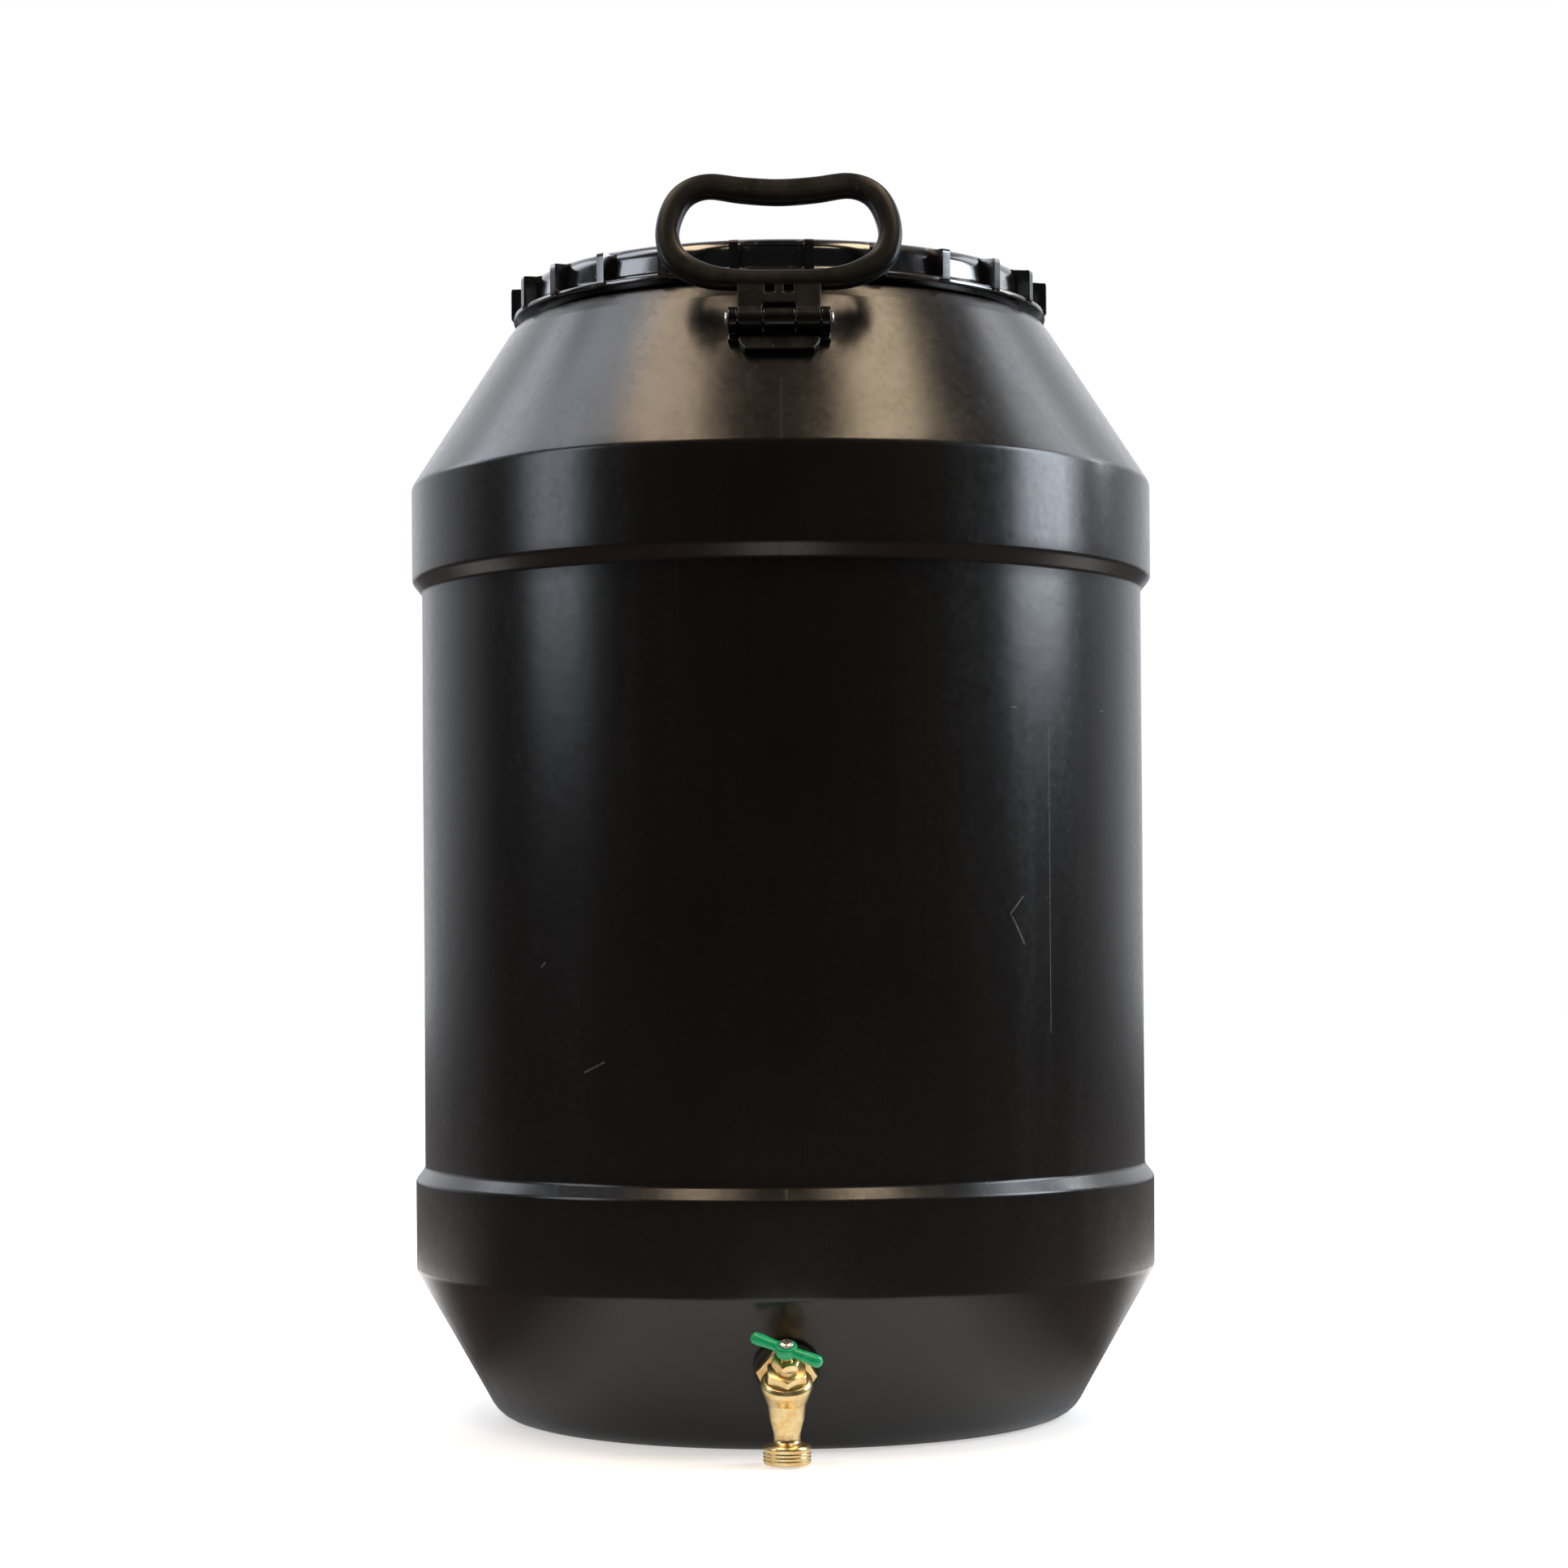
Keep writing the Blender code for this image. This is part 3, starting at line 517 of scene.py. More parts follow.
# Marks on the drum: (degrees right of the front, height) at each end, and half the width, mm.
SCRATCHES = [
    ((38.0, 422), (35.6, 409), 1.0), ((35.6, 409), (36.6, 401), 0.9), ((36.6, 401), (38.2, 386), 1.1),
    ((43.6, 552), (43.6, 318), 0.55), ((-30.6, 291), (-27.2, 299), 0.9), ((-38.5, 371), (-37.8, 374), 1.1),
    ((36.0, 566), (58.0, 568), 0.8),
]


def drum_finish():
    """Satin black polyethylene: fine mould grain, faint flow streaks, rubbed edges and a few scratches."""
    made = Finish("drum_black", 0.4, IOR=1.5)
    cloud = made.grain(7, 5, shift=0.3)
    mottle = made.grain(160, 3, shift=1.7)
    streak = made.grain(34, 4, stretch=(1, 1, 0.05), shift=0.9)
    fine_lines = made.grain(420, 2, stretch=(1, 1, 0.02), shift=4.2)
    lines = made.span(fine_lines, 0.70, 0.76)
    marks = None
    for start, end, half in SCRATCHES:
        mark = made.stroke(on_wall(*start), on_wall(*end), half)
        marks = mark if marks is None else made.maths("MAXIMUM", marks, mark)
    marks = made.times(marks, made.span(made.grain(900, 2, shift=2.2), 0.34, 0.56))
    base = made.blend(made.span(cloud, 0.3, 0.7), (0.0105, 0.0098, 0.0093), (0.0140, 0.0128, 0.0120))
    dusty = made.times(made.span(streak, 0.5, 0.85), made.span(cloud, 0.42, 0.75))
    base = made.blend(made.times(dusty, 0.5), base, (0.0150, 0.0140, 0.0132))
    base = made.blend(made.times(lines, 0.25), base, (0.030, 0.030, 0.030))
    made.colour(made.blend(made.times(marks, 0.9), base, (0.170, 0.168, 0.165)))
    height = made.node("ShaderNodeSeparateXYZ", {0: made.place}).outputs[2]
    scuffed = made.span(height, LOWER_CONE_TOP * MM, (LOWER_CONE_TOP - 25) * MM, 0.0, 0.07)
    rough = made.maths("ADD", made.span(mottle, 0.25, 0.75, 0.215, 0.28), scuffed)
    rough = made.maths("ADD", rough, made.span(streak, 0.4, 0.8, -0.01, 0.045))
    made.roughness(made.maths("ADD", rough, made.times(marks, 0.2)))
    made.relief(made.grain(48, 3, shift=5.1), 0.40, 0.30)
    made.relief(mottle, 0.12, 0.16)
    made.relief(made.grain(700, 2, shift=3.3), 0.03, 0.25)
    made.relief(marks, 0.15, 0.5)
    return made.material


DULL = {"Specular_IOR_Level": 0.28}

# Black moulded plastics: darkest and lightest colour, roughness, the grain's depth in mm, other sockets.
PLASTICS = {
    "lid_black": ((0.0030, 0.0030, 0.0034), (0.0052, 0.0050, 0.0050), 0.17, 0.012, {"IOR": 2.1}),
    "cover_black": ((0.0050, 0.0050, 0.0052), (0.0090, 0.0088, 0.0085), 0.36, 0.05, {}),
    "loop_black": ((0.0070, 0.0070, 0.0066), (0.0110, 0.0106, 0.0100), 0.34, 0.04, DULL),
    "bracket_black": ((0.0028, 0.0030, 0.0036), (0.0050, 0.0052, 0.0058), 0.26, 0.03, {}),
    "fitting_black": ((0.0060, 0.0060, 0.0062), (0.0100, 0.0098, 0.0095), 0.38, 0.05, {}),
}


def plastic_finish(name, dark, light, rough, grain_depth, sockets):
    """Black moulded plastic with a fine grain, rub marks and hairline scratches."""
    made = Finish(name, rough, **sockets)
    cloud = made.grain(22, 4, shift=0.6)
    rub = made.grain(90, 4, stretch=(1, 1, 0.5), shift=2.9)
    hair = made.span(made.grain(260, 2, stretch=(1, 0.08, 1), shift=7.7), 0.68, 0.74)
    base = made.blend(made.span(cloud, 0.3, 0.7), dark, light)
    made.colour(made.blend(made.times(hair, 0.25), base, tuple(4 * c + 0.01 for c in light)))
    level = made.span(rub, 0.3, 0.75, rough * 0.8, rough * 1.25)
    made.roughness(made.maths("ADD", level, made.times(hair, 0.12)))
    made.relief(made.grain(60, 2, shift=1.1), 0.12, 0.3)
    made.relief(made.grain(620, 2, shift=3.9), grain_depth, 0.6)
    return made.material


def brass_finish():
    """Cast brass, tumbled bright: pale gold with amber tarnish in patches and a sandy skin."""
    made = Finish("brass", 0.3, 1.0)
    patch = made.grain(120, 5, shift=0.4)
    speck = made.grain(900, 3, shift=1.5)
    base = made.blend(made.span(patch, 0.38, 0.72), (0.94, 0.79, 0.44), (0.78, 0.50, 0.18))
    made.colour(made.blend(made.span(speck, 0.66, 0.80, 0.0, 0.5), base, (0.40, 0.24, 0.10)))
    made.roughness(made.span(speck, 0.25, 0.8, 0.24, 0.40))
    made.relief(made.grain(260, 3, shift=2.6), 0.08, 0.35)
    made.relief(speck, 0.03, 0.6)
    return made.material


def enamel_finish():
    """Glossy green enamel, a little thin on its edges and dulled by handling."""
    made = Finish("tap_green", 0.25, IOR=1.5, Coat_Weight=0.2, Coat_Roughness=0.15)
    patch = made.grain(110, 4, shift=0.8)
    chips = made.span(made.grain(480, 3, shift=6.1), 0.72, 0.75)
    base = made.blend(made.span(patch, 0.3, 0.7), (0.0010, 0.42, 0.150), (0.0020, 0.54, 0.205))
    made.colour(made.blend(chips, base, (0.010, 0.060, 0.030)))
    made.roughness(made.span(patch, 0.3, 0.7, 0.22, 0.36))
    made.relief(made.grain(300, 2, shift=4.4), 0.08, 0.35)
    made.relief(chips, 0.05, 0.5)
    return made.material


def rubber_finish():
    """Matt black rubber with a dusty bloom."""
    made = Finish("rubber_black", 0.72)
    bloom = made.grain(70, 4, shift=0.2)
    made.colour(made.blend(made.span(bloom, 0.35, 0.75), (0.007, 0.007, 0.007), (0.024, 0.023, 0.022)))
    made.roughness(made.span(bloom, 0.3, 0.7, 0.62, 0.82))
    made.relief(made.grain(800, 2, shift=3.0), 0.06, 0.5)
    return made.material


def steel_finish(name, tint):
    """Stainless steel with fine turning marks and light staining."""
    made = Finish(name, 0.3, 1.0)
    stain = made.grain(150, 4, shift=0.7)
    lines = made.grain(1500, 2, stretch=(0.15, 1, 1), shift=2.0)
    made.colour(made.blend(made.span(stain, 0.4, 0.75), tint, tuple(c * 0.6 for c in tint)))
    made.roughness(made.span(lines, 0.3, 0.7, 0.22, 0.42))
    made.relief(lines, 0.02, 0.5)
    return made.material


def make_finishes():
    """Every finish by the record's slot name."""
    made = {"drum_black": drum_finish()}
    made.update((name, plastic_finish(name, *settings)) for name, settings in PLASTICS.items())
    made["rubber_black"] = rubber_finish()
    made["steel"] = steel_finish("steel", (0.66, 0.65, 0.62))
    made["screen_metal"] = steel_finish("screen_metal", (0.60, 0.61, 0.62))
    made["brass"] = brass_finish()
    made["tap_green"] = enamel_finish()
    return made


FINISHES = make_finishes()


# -------- drum

DRUM_CORNERS = [
    (0, FOOT_RECESS, 0), (FOOT_RING_R - 6, FOOT_RECESS, 2.5), (FOOT_RING_R, 0, 2.5),
    (FOOT_R, 0, 28), (BAND_R, LOWER_CONE_TOP, 9), (BAND_R, LOWER_BAND_TOP, 5),
    (WALL_R + 0.5, LOWER_BAND_TOP + BAND_STEP, 5), (WALL_R, UPPER_BAND_BOTTOM - BAND_STEP, 5),
    (BAND_R, UPPER_BAND_BOTTOM, 6), (BAND_R, UPPER_BAND_TOP, 9), (COLLAR_R, CONE_TOP, 14),
    (COLLAR_R - COLLAR_LEAN, COLLAR_TOP, 3), (NECK_R, COLLAR_TOP, 2), (NECK_R, NECK_TOP, 1.2),
]


def bump_shape(value, centre, half):
    """A smooth hump from 0 to 1 and back, as wide as two halves."""
    t = abs(value - centre) / half
    return (1 - t * t) ** 2 if t < 1 else 0.0


def wall_shift(angle, radius, z):
    """How far the moulded wall stands out of its drawing: seam ridge out, shrinkage and pockets in."""
    if radius < FOOT_RING_R or z > COLLAR_TOP - 1 or z < 1:
        return 0.0
    sideways = radius * math.cos(angle)
    spot = Vector((math.cos(angle) * 1.9, math.sin(angle) * 1.9, z / 150))
    shift = -DENT_DEPTH * (0.5 + 0.5 * noise.noise(spot))
    shift *= min(1.0, z / 30) * min(1.0, (COLLAR_TOP - z) / 20)
    if abs(math.sin(angle)) > 0.9:  # at the front or the back
        near_part = max(bump_shape(z, centre, half) for centre, half in SEAM_BREAKS)
        shift += SEAM_HEIGHT * bump_shape(sideways, 0, SEAM_HALF * 1.6) * (1 - min(1.0, 3 * near_part))
        for side in (-POCKET_SIDE, POCKET_SIDE):
            shift -= POCKET_DEPTH * bump_shape(sideways, side, 17) * bump_shape(z, POCKET_Z, 24)
    return shift


def drum_columns():
    """Angles round the drum, with close ones at the two parting lines."""
    angles = {TURN * i / DRUM_COLUMNS for i in range(DRUM_COLUMNS)}
    for seam in (math.pi / 2, 3 * math.pi / 2):
        for offset in (-1.6, -1.0, -0.5, 0.5, 1.0, 1.6):
            angles.add(seam + offset * SEAM_HALF / BAND_R)
    return sorted(angles)


def drum_mesh():
    """The shell as rings of points: up the outside, over the rim and down the inside."""
    rim = [(NECK_R - WALL / 2, NECK_TOP, 0)]
    outside = rounded(DRUM_CORNERS + rim, 5, 11)[1:]
    inside = rounded(inset(DRUM_CORNERS, WALL) + rim, 3, 45)[1:-1]
    columns = drum_columns()
    rings = []
    for outline, outer in ((outside, True), (inside[::-1], False)):
        for radius, z in outline:
            rings.append([])
            for angle in columns:
                shift = wall_shift(angle, radius, z) if outer else 0.0
                rings[-1] += around(angle, [(radius + shift, z)])
    mesh = bmesh.new()
    rows = add_skin(mesh, rings, loop=False)
    for row, z in ((rows[0], FOOT_RECESS), (rows[-1], FOOT_RECESS + WALL)):
        pole = mesh.verts.new((0, 0, z * MM))
        for first, second in zip(row, row[1:] + row[:1]):
            mesh.faces.new((first, second, pole))
    return outward(mesh)


def thread(root, crest, first_z, first_angle, turns, segments=96):
    """A helical ridge with run-out ends, climbing THREAD_PITCH a turn."""
    steps = round(turns * segments)
    rings = []
    for i in range(steps + 1):
        climb = turns * i / steps
        rise = min(1.0, 12 * climb / turns, 12 * (turns - climb) / turns)
        top = root + (crest - root) * max(rise, 0.3)
        angle = first_angle + TURN * climb
        z = first_z + THREAD_PITCH * climb
        outline = [(root, z - 2.1), (top, z - 1.1), (top, z + 1.1), (root, z + 2.1)]
        rings.append(around(angle, outline))
    return skin(rings, loop=False, caps=True)


def build_drum(tap_wall, overflow_wall):
    """The shell with its neck thread and the holes for the two fittings."""
    ridge = thread(NECK_R - THREAD_ROOT, NECK_THREAD_R, THREAD_START_Z, 0, 1.2)
    holes = [moved(on_y(rod(HOLE_R, -20, 20)), wall) for wall in (tap_wall, overflow_wall)]
    made = joined([drum_mesh(), ridge], holes)
    piece("drum", made, "drum", "drum_black", "drum_shell")


# -------- lid

def ribbed(base, raised, count, first_angle, half_width, radius):
    """A ring whose outline changes from base to raised at each of its ribs, with soft flanks."""
    flank = [(-0.45, 0.0), (-0.2, 0.35), (0.05, 0.8), (0.4, 1.0)]
    rise = [(-half_width + offset, share) for offset, share in flank]
    across = rise + [(0.0, 1.0)] + [(-offset, share) for offset, share in reversed(rise)]
    spacing = TURN * radius / count
    plain = spacing - 2 * across[-1][0]
    across += [(across[-1][0] + plain * k / RIB_GAP_STEPS, 0.0) for k in range(1, RIB_GAP_STEPS)]
    rings = []
    for rib in range(count):
        middle = math.radians(first_angle) - math.pi / 2 + TURN * rib / count
        for offset, share in across:
            angle = middle + offset / radius
            outline = [(r0 + (r1 - r0) * share, z0 + (z1 - z0) * share)
                       for (r0, z0), (r1, z1) in zip(base, raised)]
            rings.append(around(angle, outline))
    return skin(rings)


def build_lid_ring():
    """The screw ring: skirt, bottom flange, rolled lip and grip ribs, with its inner thread."""
    bottom, top = LID_BOTTOM, LID_TOP
    # Radius and height above the bottom, between two ribs and on a rib
    skirt = [
        (219.6, 0), (220.0, 0.5), (220.0, 3.5), (219.3, 4.3), (213.0, 5.3), (212.0, 6.3), (211.7, 9),
        (211.1, 14), (210.5, 19), (210.1, 21.2), (209.2, 23.6), (207.6, 26.2), (205.8, 28.2),
        (204.2, 29.4), (LID_LIP_R, top - bottom),
    ]
    rib = [
        (219.6, 0), (220.3, 0.5), (221.6, 1.6), (222.0, 3), (222.0, 5.3), (222.0, 7), (222.0, 10),
        (222.0, 15), (222.0, 20), (222.0, 23), (221.8, 25.4), (221.0, 26.3), (206.6, 26.6),
        (204.6, 28.9), (LID_LIP_R, top - bottom),
    ]
    inner = rounded([
        (202.0, top, 0), (LID_MOUTH_R, top, 1.2), (LID_MOUTH_R, top - 5.1, 0.8), (LID_BORE_R, top - 5.1, 0.8),
        (LID_BORE_R, bottom, 0.6), (219.0, bottom, 0),
    ], 3)
    skirt, rib = ([(r, bottom + z) for r, z in outline] for outline in (skirt, rib))
    ring = ribbed(skirt + inner, rib + inner, RIB_COUNT, RIB_FIRST_ANGLE, 4.0, 222.0)
    start = -0.47
    first_z = THREAD_START_Z + THREAD_PITCH * (0.5 + start)
    ridge = thread(LID_BORE_R + THREAD_ROOT, LID_THREAD_R, first_z, start * TURN, 1.0)
    made = joined([ring, ridge])
    piece("lid_screw_ring", made, "ring", "lid_black", "lid_ring", 50)


def build_lid_cover():
    """The cover's dished panel, stiffened by low radial ribs, and the parts of its screened inlet."""
    low = NECK_TOP + 3.6
    high = low + 4
    ledge = high + 0.9
    panel_top = ledge + 2.5
    floor_drop = 1.1

    def outline(drop):
        corners = [
            (INLET_R, ledge, 0.6), (85, ledge, 0.4), (88, panel_top, 0.8), (92, panel_top, 0.8),
            (93.5, panel_top - drop, 0.6), (168, panel_top - drop, 0.6), (170, panel_top, 0.8),
            (176, panel_top, 1.5), (181, high, 1), (COVER_R, high, 0.8), (COVER_R, low, 0.8), (188, low, 0.4),
            (187.5, 912, 0.8), (184.5, 912, 0.8), (184, low, 0.4), (178, low, 1), (173, ledge - 1.5, 1),
            (90, ledge - 1.5, 1), (87, ledge - 4, 0.8), (INLET_R, ledge - 4, 0.6),
        ]
        return rounded(corners, 2, closed=True)

    cover = ribbed(outline(floor_drop), outline(0.02), 16, 0, 2.0, 120.0)
    piece("lid_panel", joined([cover], screw_holes()), "cover", "cover_black", "lid_cover", 50)
    seal = washer(189.5, 199, NECK_TOP + GAP, low - GAP, 0.9, 128)
    piece("lid_seal", seal, "cover", "rubber_black", "lid_gasket")
    clamp_high = ledge - 4 - GAP
    clamp = joined([washer(68, GRILLE_R, clamp_high - 3, clamp_high, 0.6, 96)], screw_holes())
    piece("screen_clamp", clamp, "cover", "cover_black", "screen_clamp_ring")
    build_inlet(ledge, clamp_high - 3)


def on_screw_circle(mesh_maker):
    """One mesh at each of the lid's screw places."""
    places = []
    for i in range(SCREW_COUNT):
        angle = TURN * (i + 0.5) / SCREW_COUNT
        shift = Vector((math.cos(angle), math.sin(angle), 0)) * SCREW_CIRCLE_R * MM
        places.append(moved(mesh_maker(), Matrix.Translation(shift)))
    return places


def screw_holes():
    """The tools that drill the holes of the inlet's screws."""
    return on_screw_circle(lambda: rod(2.4, 910, 935, segments=24))


def woven_screen(z, radius):
    """Crossing wires, each waving over and under the others, within a circle."""
    mesh = bmesh.new()
    count = int(radius / WIRE_PITCH)
    for direction in (0, 1):
        for k in range(-count, count + 1):
            place = k * WIRE_PITCH
            reach = math.sqrt(radius ** 2 - place ** 2)
            steps = max(2, int(2 * reach / WIRE_PITCH))
            rings = []
            for i in range(steps + 1):
                along = -reach + 2 * reach * i / steps
                wave = WIRE_R * math.cos(math.pi * (along / WIRE_PITCH + k + direction))
                ring = []
                for side in range(4):
                    angle = TURN * (side + 0.5) / 4
                    offset = place + WIRE_R * math.cos(angle)
                    height = z + wave + WIRE_R * math.sin(angle)
                    ring.append((along, offset, height) if direction else (offset, along, height))
                rings.append(ring)
            add_skin(mesh, rings, loop=False, caps=True)
    return outward(mesh)


def screw_mesh(head_r, shank_r, tip, head_z, thick):
    """A pan-head screw with a cross recess."""
    made = joined([turned([
        (0, tip, 0), (shank_r * 0.7, tip, 0), (shank_r, tip + 1, 0), (shank_r, head_z, 0),
        (head_r, head_z, 0.2), (head_r, head_z + thick * 0.55, thick * 0.5),
        (head_r * 0.55, head_z + thick, 0.4), (0, head_z + thick, 0),
    ], 40, 4)])
    slot = head_r * 0.14
    arm = head_r * 0.55
    for low, high in (((-arm, -slot), (arm, slot)), ((-slot, -arm), (slot, arm))):
        cut = block((*low, head_z + thick * 0.4), (*high, head_z + thick + 1))
        combine(made, cut, "DIFFERENCE")
    return as_mesh(made)


def build_inlet(ledge, clamp_low):
    """The woven screen, the slotted grille over it and the four screws."""
    screen_low = ledge + GAP
    screen = woven_screen(screen_low + 0.25, GRILLE_R - 2)
    piece("inlet_screen", screen, "cover", "screen_metal", "insect_screen", 80)
    grille_low = screen_low + 0.5 + GAP
    grille_high = grille_low + 2.5
    pitch = GRILLE_SLOT + GRILLE_BAR
    field = INLET_R - 4
    slots = []
    for i in range(-5, 5):
        low = i * pitch + GRILLE_BAR / 2
        furthest = max(abs(low), abs(low + GRILLE_SLOT))
        reach = math.sqrt(max(field ** 2 - furthest ** 2, 0))
        if reach > 3 * GRILLE_SPOKE:
            for left, right in both_sides(GRILLE_SPOKE / 2, reach):
                slots.append(block((left, low, grille_low - 1), (right, low + GRILLE_SLOT, grille_high + 1)))
    made = joined([rod(GRILLE_R, grille_low, grille_high, segments=96)], slots)
    for hole in screw_holes():
        combine(made, hole, "DIFFERENCE")
    piece("inlet_cap", bevelled(made, 0.45), "cover", "cover_black", "inlet_grille")
    screws = on_screw_circle(lambda: screw_mesh(3.6, 1.9, clamp_low - 1.5, grille_high + GAP, 2.0))
    for number, mesh in enumerate(screws, start=1):
        piece(f"inlet_screw_{number}", mesh, "cover", "steel", f"grille_screw_{number}")


# -------- carrying loops

# Half of the loop's centre line, from the middle of its lower bar to the middle of its grip:
# sideways, distance from the pin, and half the bar's width there.
LOOP_STATIONS = [
    (0, 32, 8), (29, 32.5, 8.2), (55, 36, 9.5), (76.8, 48.3, 10.2), (84.8, 68, 9.3),
    (81.5, 90, 9.8), (71.5, 106, 10), (54, 113, 10.2), (28, 109.5, 10.6), (0, 107.5, 10.8),
]


def smooth_loop(stations, subdivision):
    """Catmull-Rom points round a closed row of stations."""
    count = len(stations)
    points = []
    for i in range(count):
        a, b, c, d = (Vector(stations[(i + k) % count]) for k in (-1, 0, 1, 2))
        for step in range(subdivision):
            t = step / subdivision
            points.append(
                0.5 * (2 * b + (c - a) * t + (2 * a - 5 * b + 4 * c - d) * t * t
                       + (3 * b - a - 3 * c + d) * t ** 3)
            )
    return points


def loop_mesh(sides=20, subdivision=7):
    """The hand loop: an oval bar swept round a waisted outline."""
    left = [(-x, v, w) for x, v, w in LOOP_STATIONS[-2:0:-1]]
    stations = smooth_loop(LOOP_STATIONS + left, subdivision)
    rings = []
    for i, (x, v, width) in enumerate(stations):
        along = Vector(stations[(i + 1) % len(stations)][:2]) - Vector(stations[i - 1][:2])
        out = Vector((along.y, -along.x)).normalized()
        ring = []
        for k in range(sides):
            angle = TURN * (k + 0.5) / sides
            across = math.copysign(abs(math.cos(angle)) ** 0.75, math.cos(angle)) * width
            deep = math.copysign(abs(math.sin(angle)) ** 0.75, math.sin(angle)) * LOOP_DEPTH / 2
            ring.append((x + out.x * across, deep, v + out.y * across))
        rings.append(ring)
    return skin(rings)


def loop_shape():
    """The loop, its neck and knuckles, with the pin's hole and the two square pockets."""
    pieces = [loop_mesh(), block((-NECK_HALF, -NECK_DEPTH / 2, 10.5), (NECK_HALF, NECK_DEPTH / 2, 34))]
    for left, right in both_sides(KNUCKLE_HALF + 0.6, NECK_HALF):
        pieces.append(block((left, -NECK_DEPTH / 2, 0), (right, NECK_DEPTH / 2, 12)))
        pieces.append(on_x(rod(8, left - 0.01, right + 0.01)))
    cuts = [on_x(rod(PIN_R + 0.5, -45, 45))]
    cuts += [block((left, -9, 19), (right, -1.5, 26)) for left, right in both_sides(3.5, 11)]
    return moulded(joined(pieces, cuts), 0.75, 5)


def slope_place(pin):
    """From (sideways, down the upper cone, out of it) under the pin, to the frame, and the pin's height."""
    down = Vector((0, -math.sin(UPPER_TILT), -math.cos(UPPER_TILT)))
    out = Vector((0, -math.cos(UPPER_TILT), math.sin(UPPER_TILT)))
    cone_y = -(COLLAR_R + (CONE_TOP - pin.z) * math.tan(UPPER_TILT))
    height = (cone_y - pin.y) * math.cos(UPPER_TILT)
    foot = pin - out * height
    place = Matrix((
        (1, down.x, out.x, foot.x * MM), (0, down.y, out.y, foot.y * MM),
        (0, down.z, out.z, foot.z * MM), (0, 0, 0, 1),
    ))
    return place, height


def bracket_shape(pin):
    """The moulded bracket: foot, lower block, middle knuckle, two ears and the loop's stop."""
    place, height = slope_place(pin)
    buried = -6
    low_block = [(-30.5, 12), (30.5, 12), (30.5, 18), (26, 25), (-26, 25), (-30.5, 18)]
    pieces = [
        block((-EAR_OUTER, -21, buried), (EAR_OUTER, 13, 3)),
        prism(low_block, buried + 0.1, 6.5),
        block((-30, -20.9, buried + 0.2), (30, -14, 9.7)),
        block((-KNUCKLE_HALF, -6, buried + 0.3), (KNUCKLE_HALF, 6, height)),
        lifted(on_x(rod(8.2, -KNUCKLE_HALF - 0.05, KNUCKLE_HALF + 0.05)), height),
    ]
    for left, right in both_sides(EAR_INNER, EAR_OUTER - 0.1):
        pieces.append(block((left, -7, buried + 0.4), (right, 7, height)))
        pieces.append(lifted(on_x(rod(8.2, left - 0.05, right + 0.05)), height))
    lift = GAP / math.cos(UPPER_TILT)
    cone = [(0, UPPER_BAND_TOP), (BAND_R + lift, UPPER_BAND_TOP), (COLLAR_R + lift, CONE_TOP), (0, CONE_TOP)]
    hole = moved(on_x(rod(PIN_R + GAP, -45, 45)), Matrix.Translation(pin * MM))
    return moulded(joined([moved(p, place) for p in pieces], [lathe(cone, 192), hole]), 0.6, 3)


def pin_mesh():
    """A hinge pin with a domed head at each end, on the X axis."""
    end, head = EAR_OUTER + 2.3, EAR_OUTER + GAP
    corners = [(0, -end, 0), (4.6, -end, 1), (5.5, -head - 0.6, 0.4), (5.5, -head, 0.2), (PIN_R, -head, 0),
               (PIN_R, head, 0), (5.5, head, 0.2), (5.5, head + 0.6, 0.4), (4.6, end, 1), (0, end, 0)]
    return on_x(turned(corners, 40))


def build_loops():
    """The front and rear loops with their pins and brackets."""
    pin = Vector(JOINTS["front_handle_swing"]["pos_m"]) / MM
    lean = Matrix.Translation(pin * MM) @ Matrix.Rotation(-LOOP_LEAN, 4, "X")
    shapes = {
        "handle": (moved(loop_shape(), lean), "loop_black"),
        "handle_bracket": (bracket_shape(pin), "bracket_black"),
        "handle_pin": (moved(to_object(pin_mesh()), Matrix.Translation(pin * MM)), "steel"),
    }
    for side in ("front", "rear"):
        for kind, (shape, slot) in shapes.items():
            if side == "rear":
                shape = moved(add_object("copy", shape.data.copy()), Matrix.Rotation(math.pi, 4, "Z"))
            body = f"{side}_loop" if kind == "handle" else "drum"
            piece(f"{side}_{kind}_shape", shape, body, slot, f"{side}_{kind}", 50)


# -------- wall fittings

def build_seals(name, wall, nut_slot):
    """The gaskets and the lock nut of a fitting through the wall."""
    inside = WALL + 2
    outer = washer(HOLE_R, GASKET_R, -GASKET_THICK, -GAP, 0.9)
    inner = washer(HOLE_R, GASKET_R - 2, inside, inside + 3, 0.8)
    nut = as_mesh(hex_nut(LOCK_NUT_HEX, inside + 3 + GAP, inside + 11, bore=SHANK_R + GAP))
    for kind, shape, slot, node in (
        ("washer_outside", outer, "rubber_black", "outer_gasket"),
        ("washer_inside", inner, "rubber_black", "inner_gasket"),
        ("nut_inside", nut, nut_slot, "lock_nut"),
    ):
        made = moved(on_y(shape), wall)
        if shape is nut:
            made = bevelled(to_object(made), 0.3)
        piece(f"{name}_{kind}", made, "drum", slot, f"{name}_{node}")


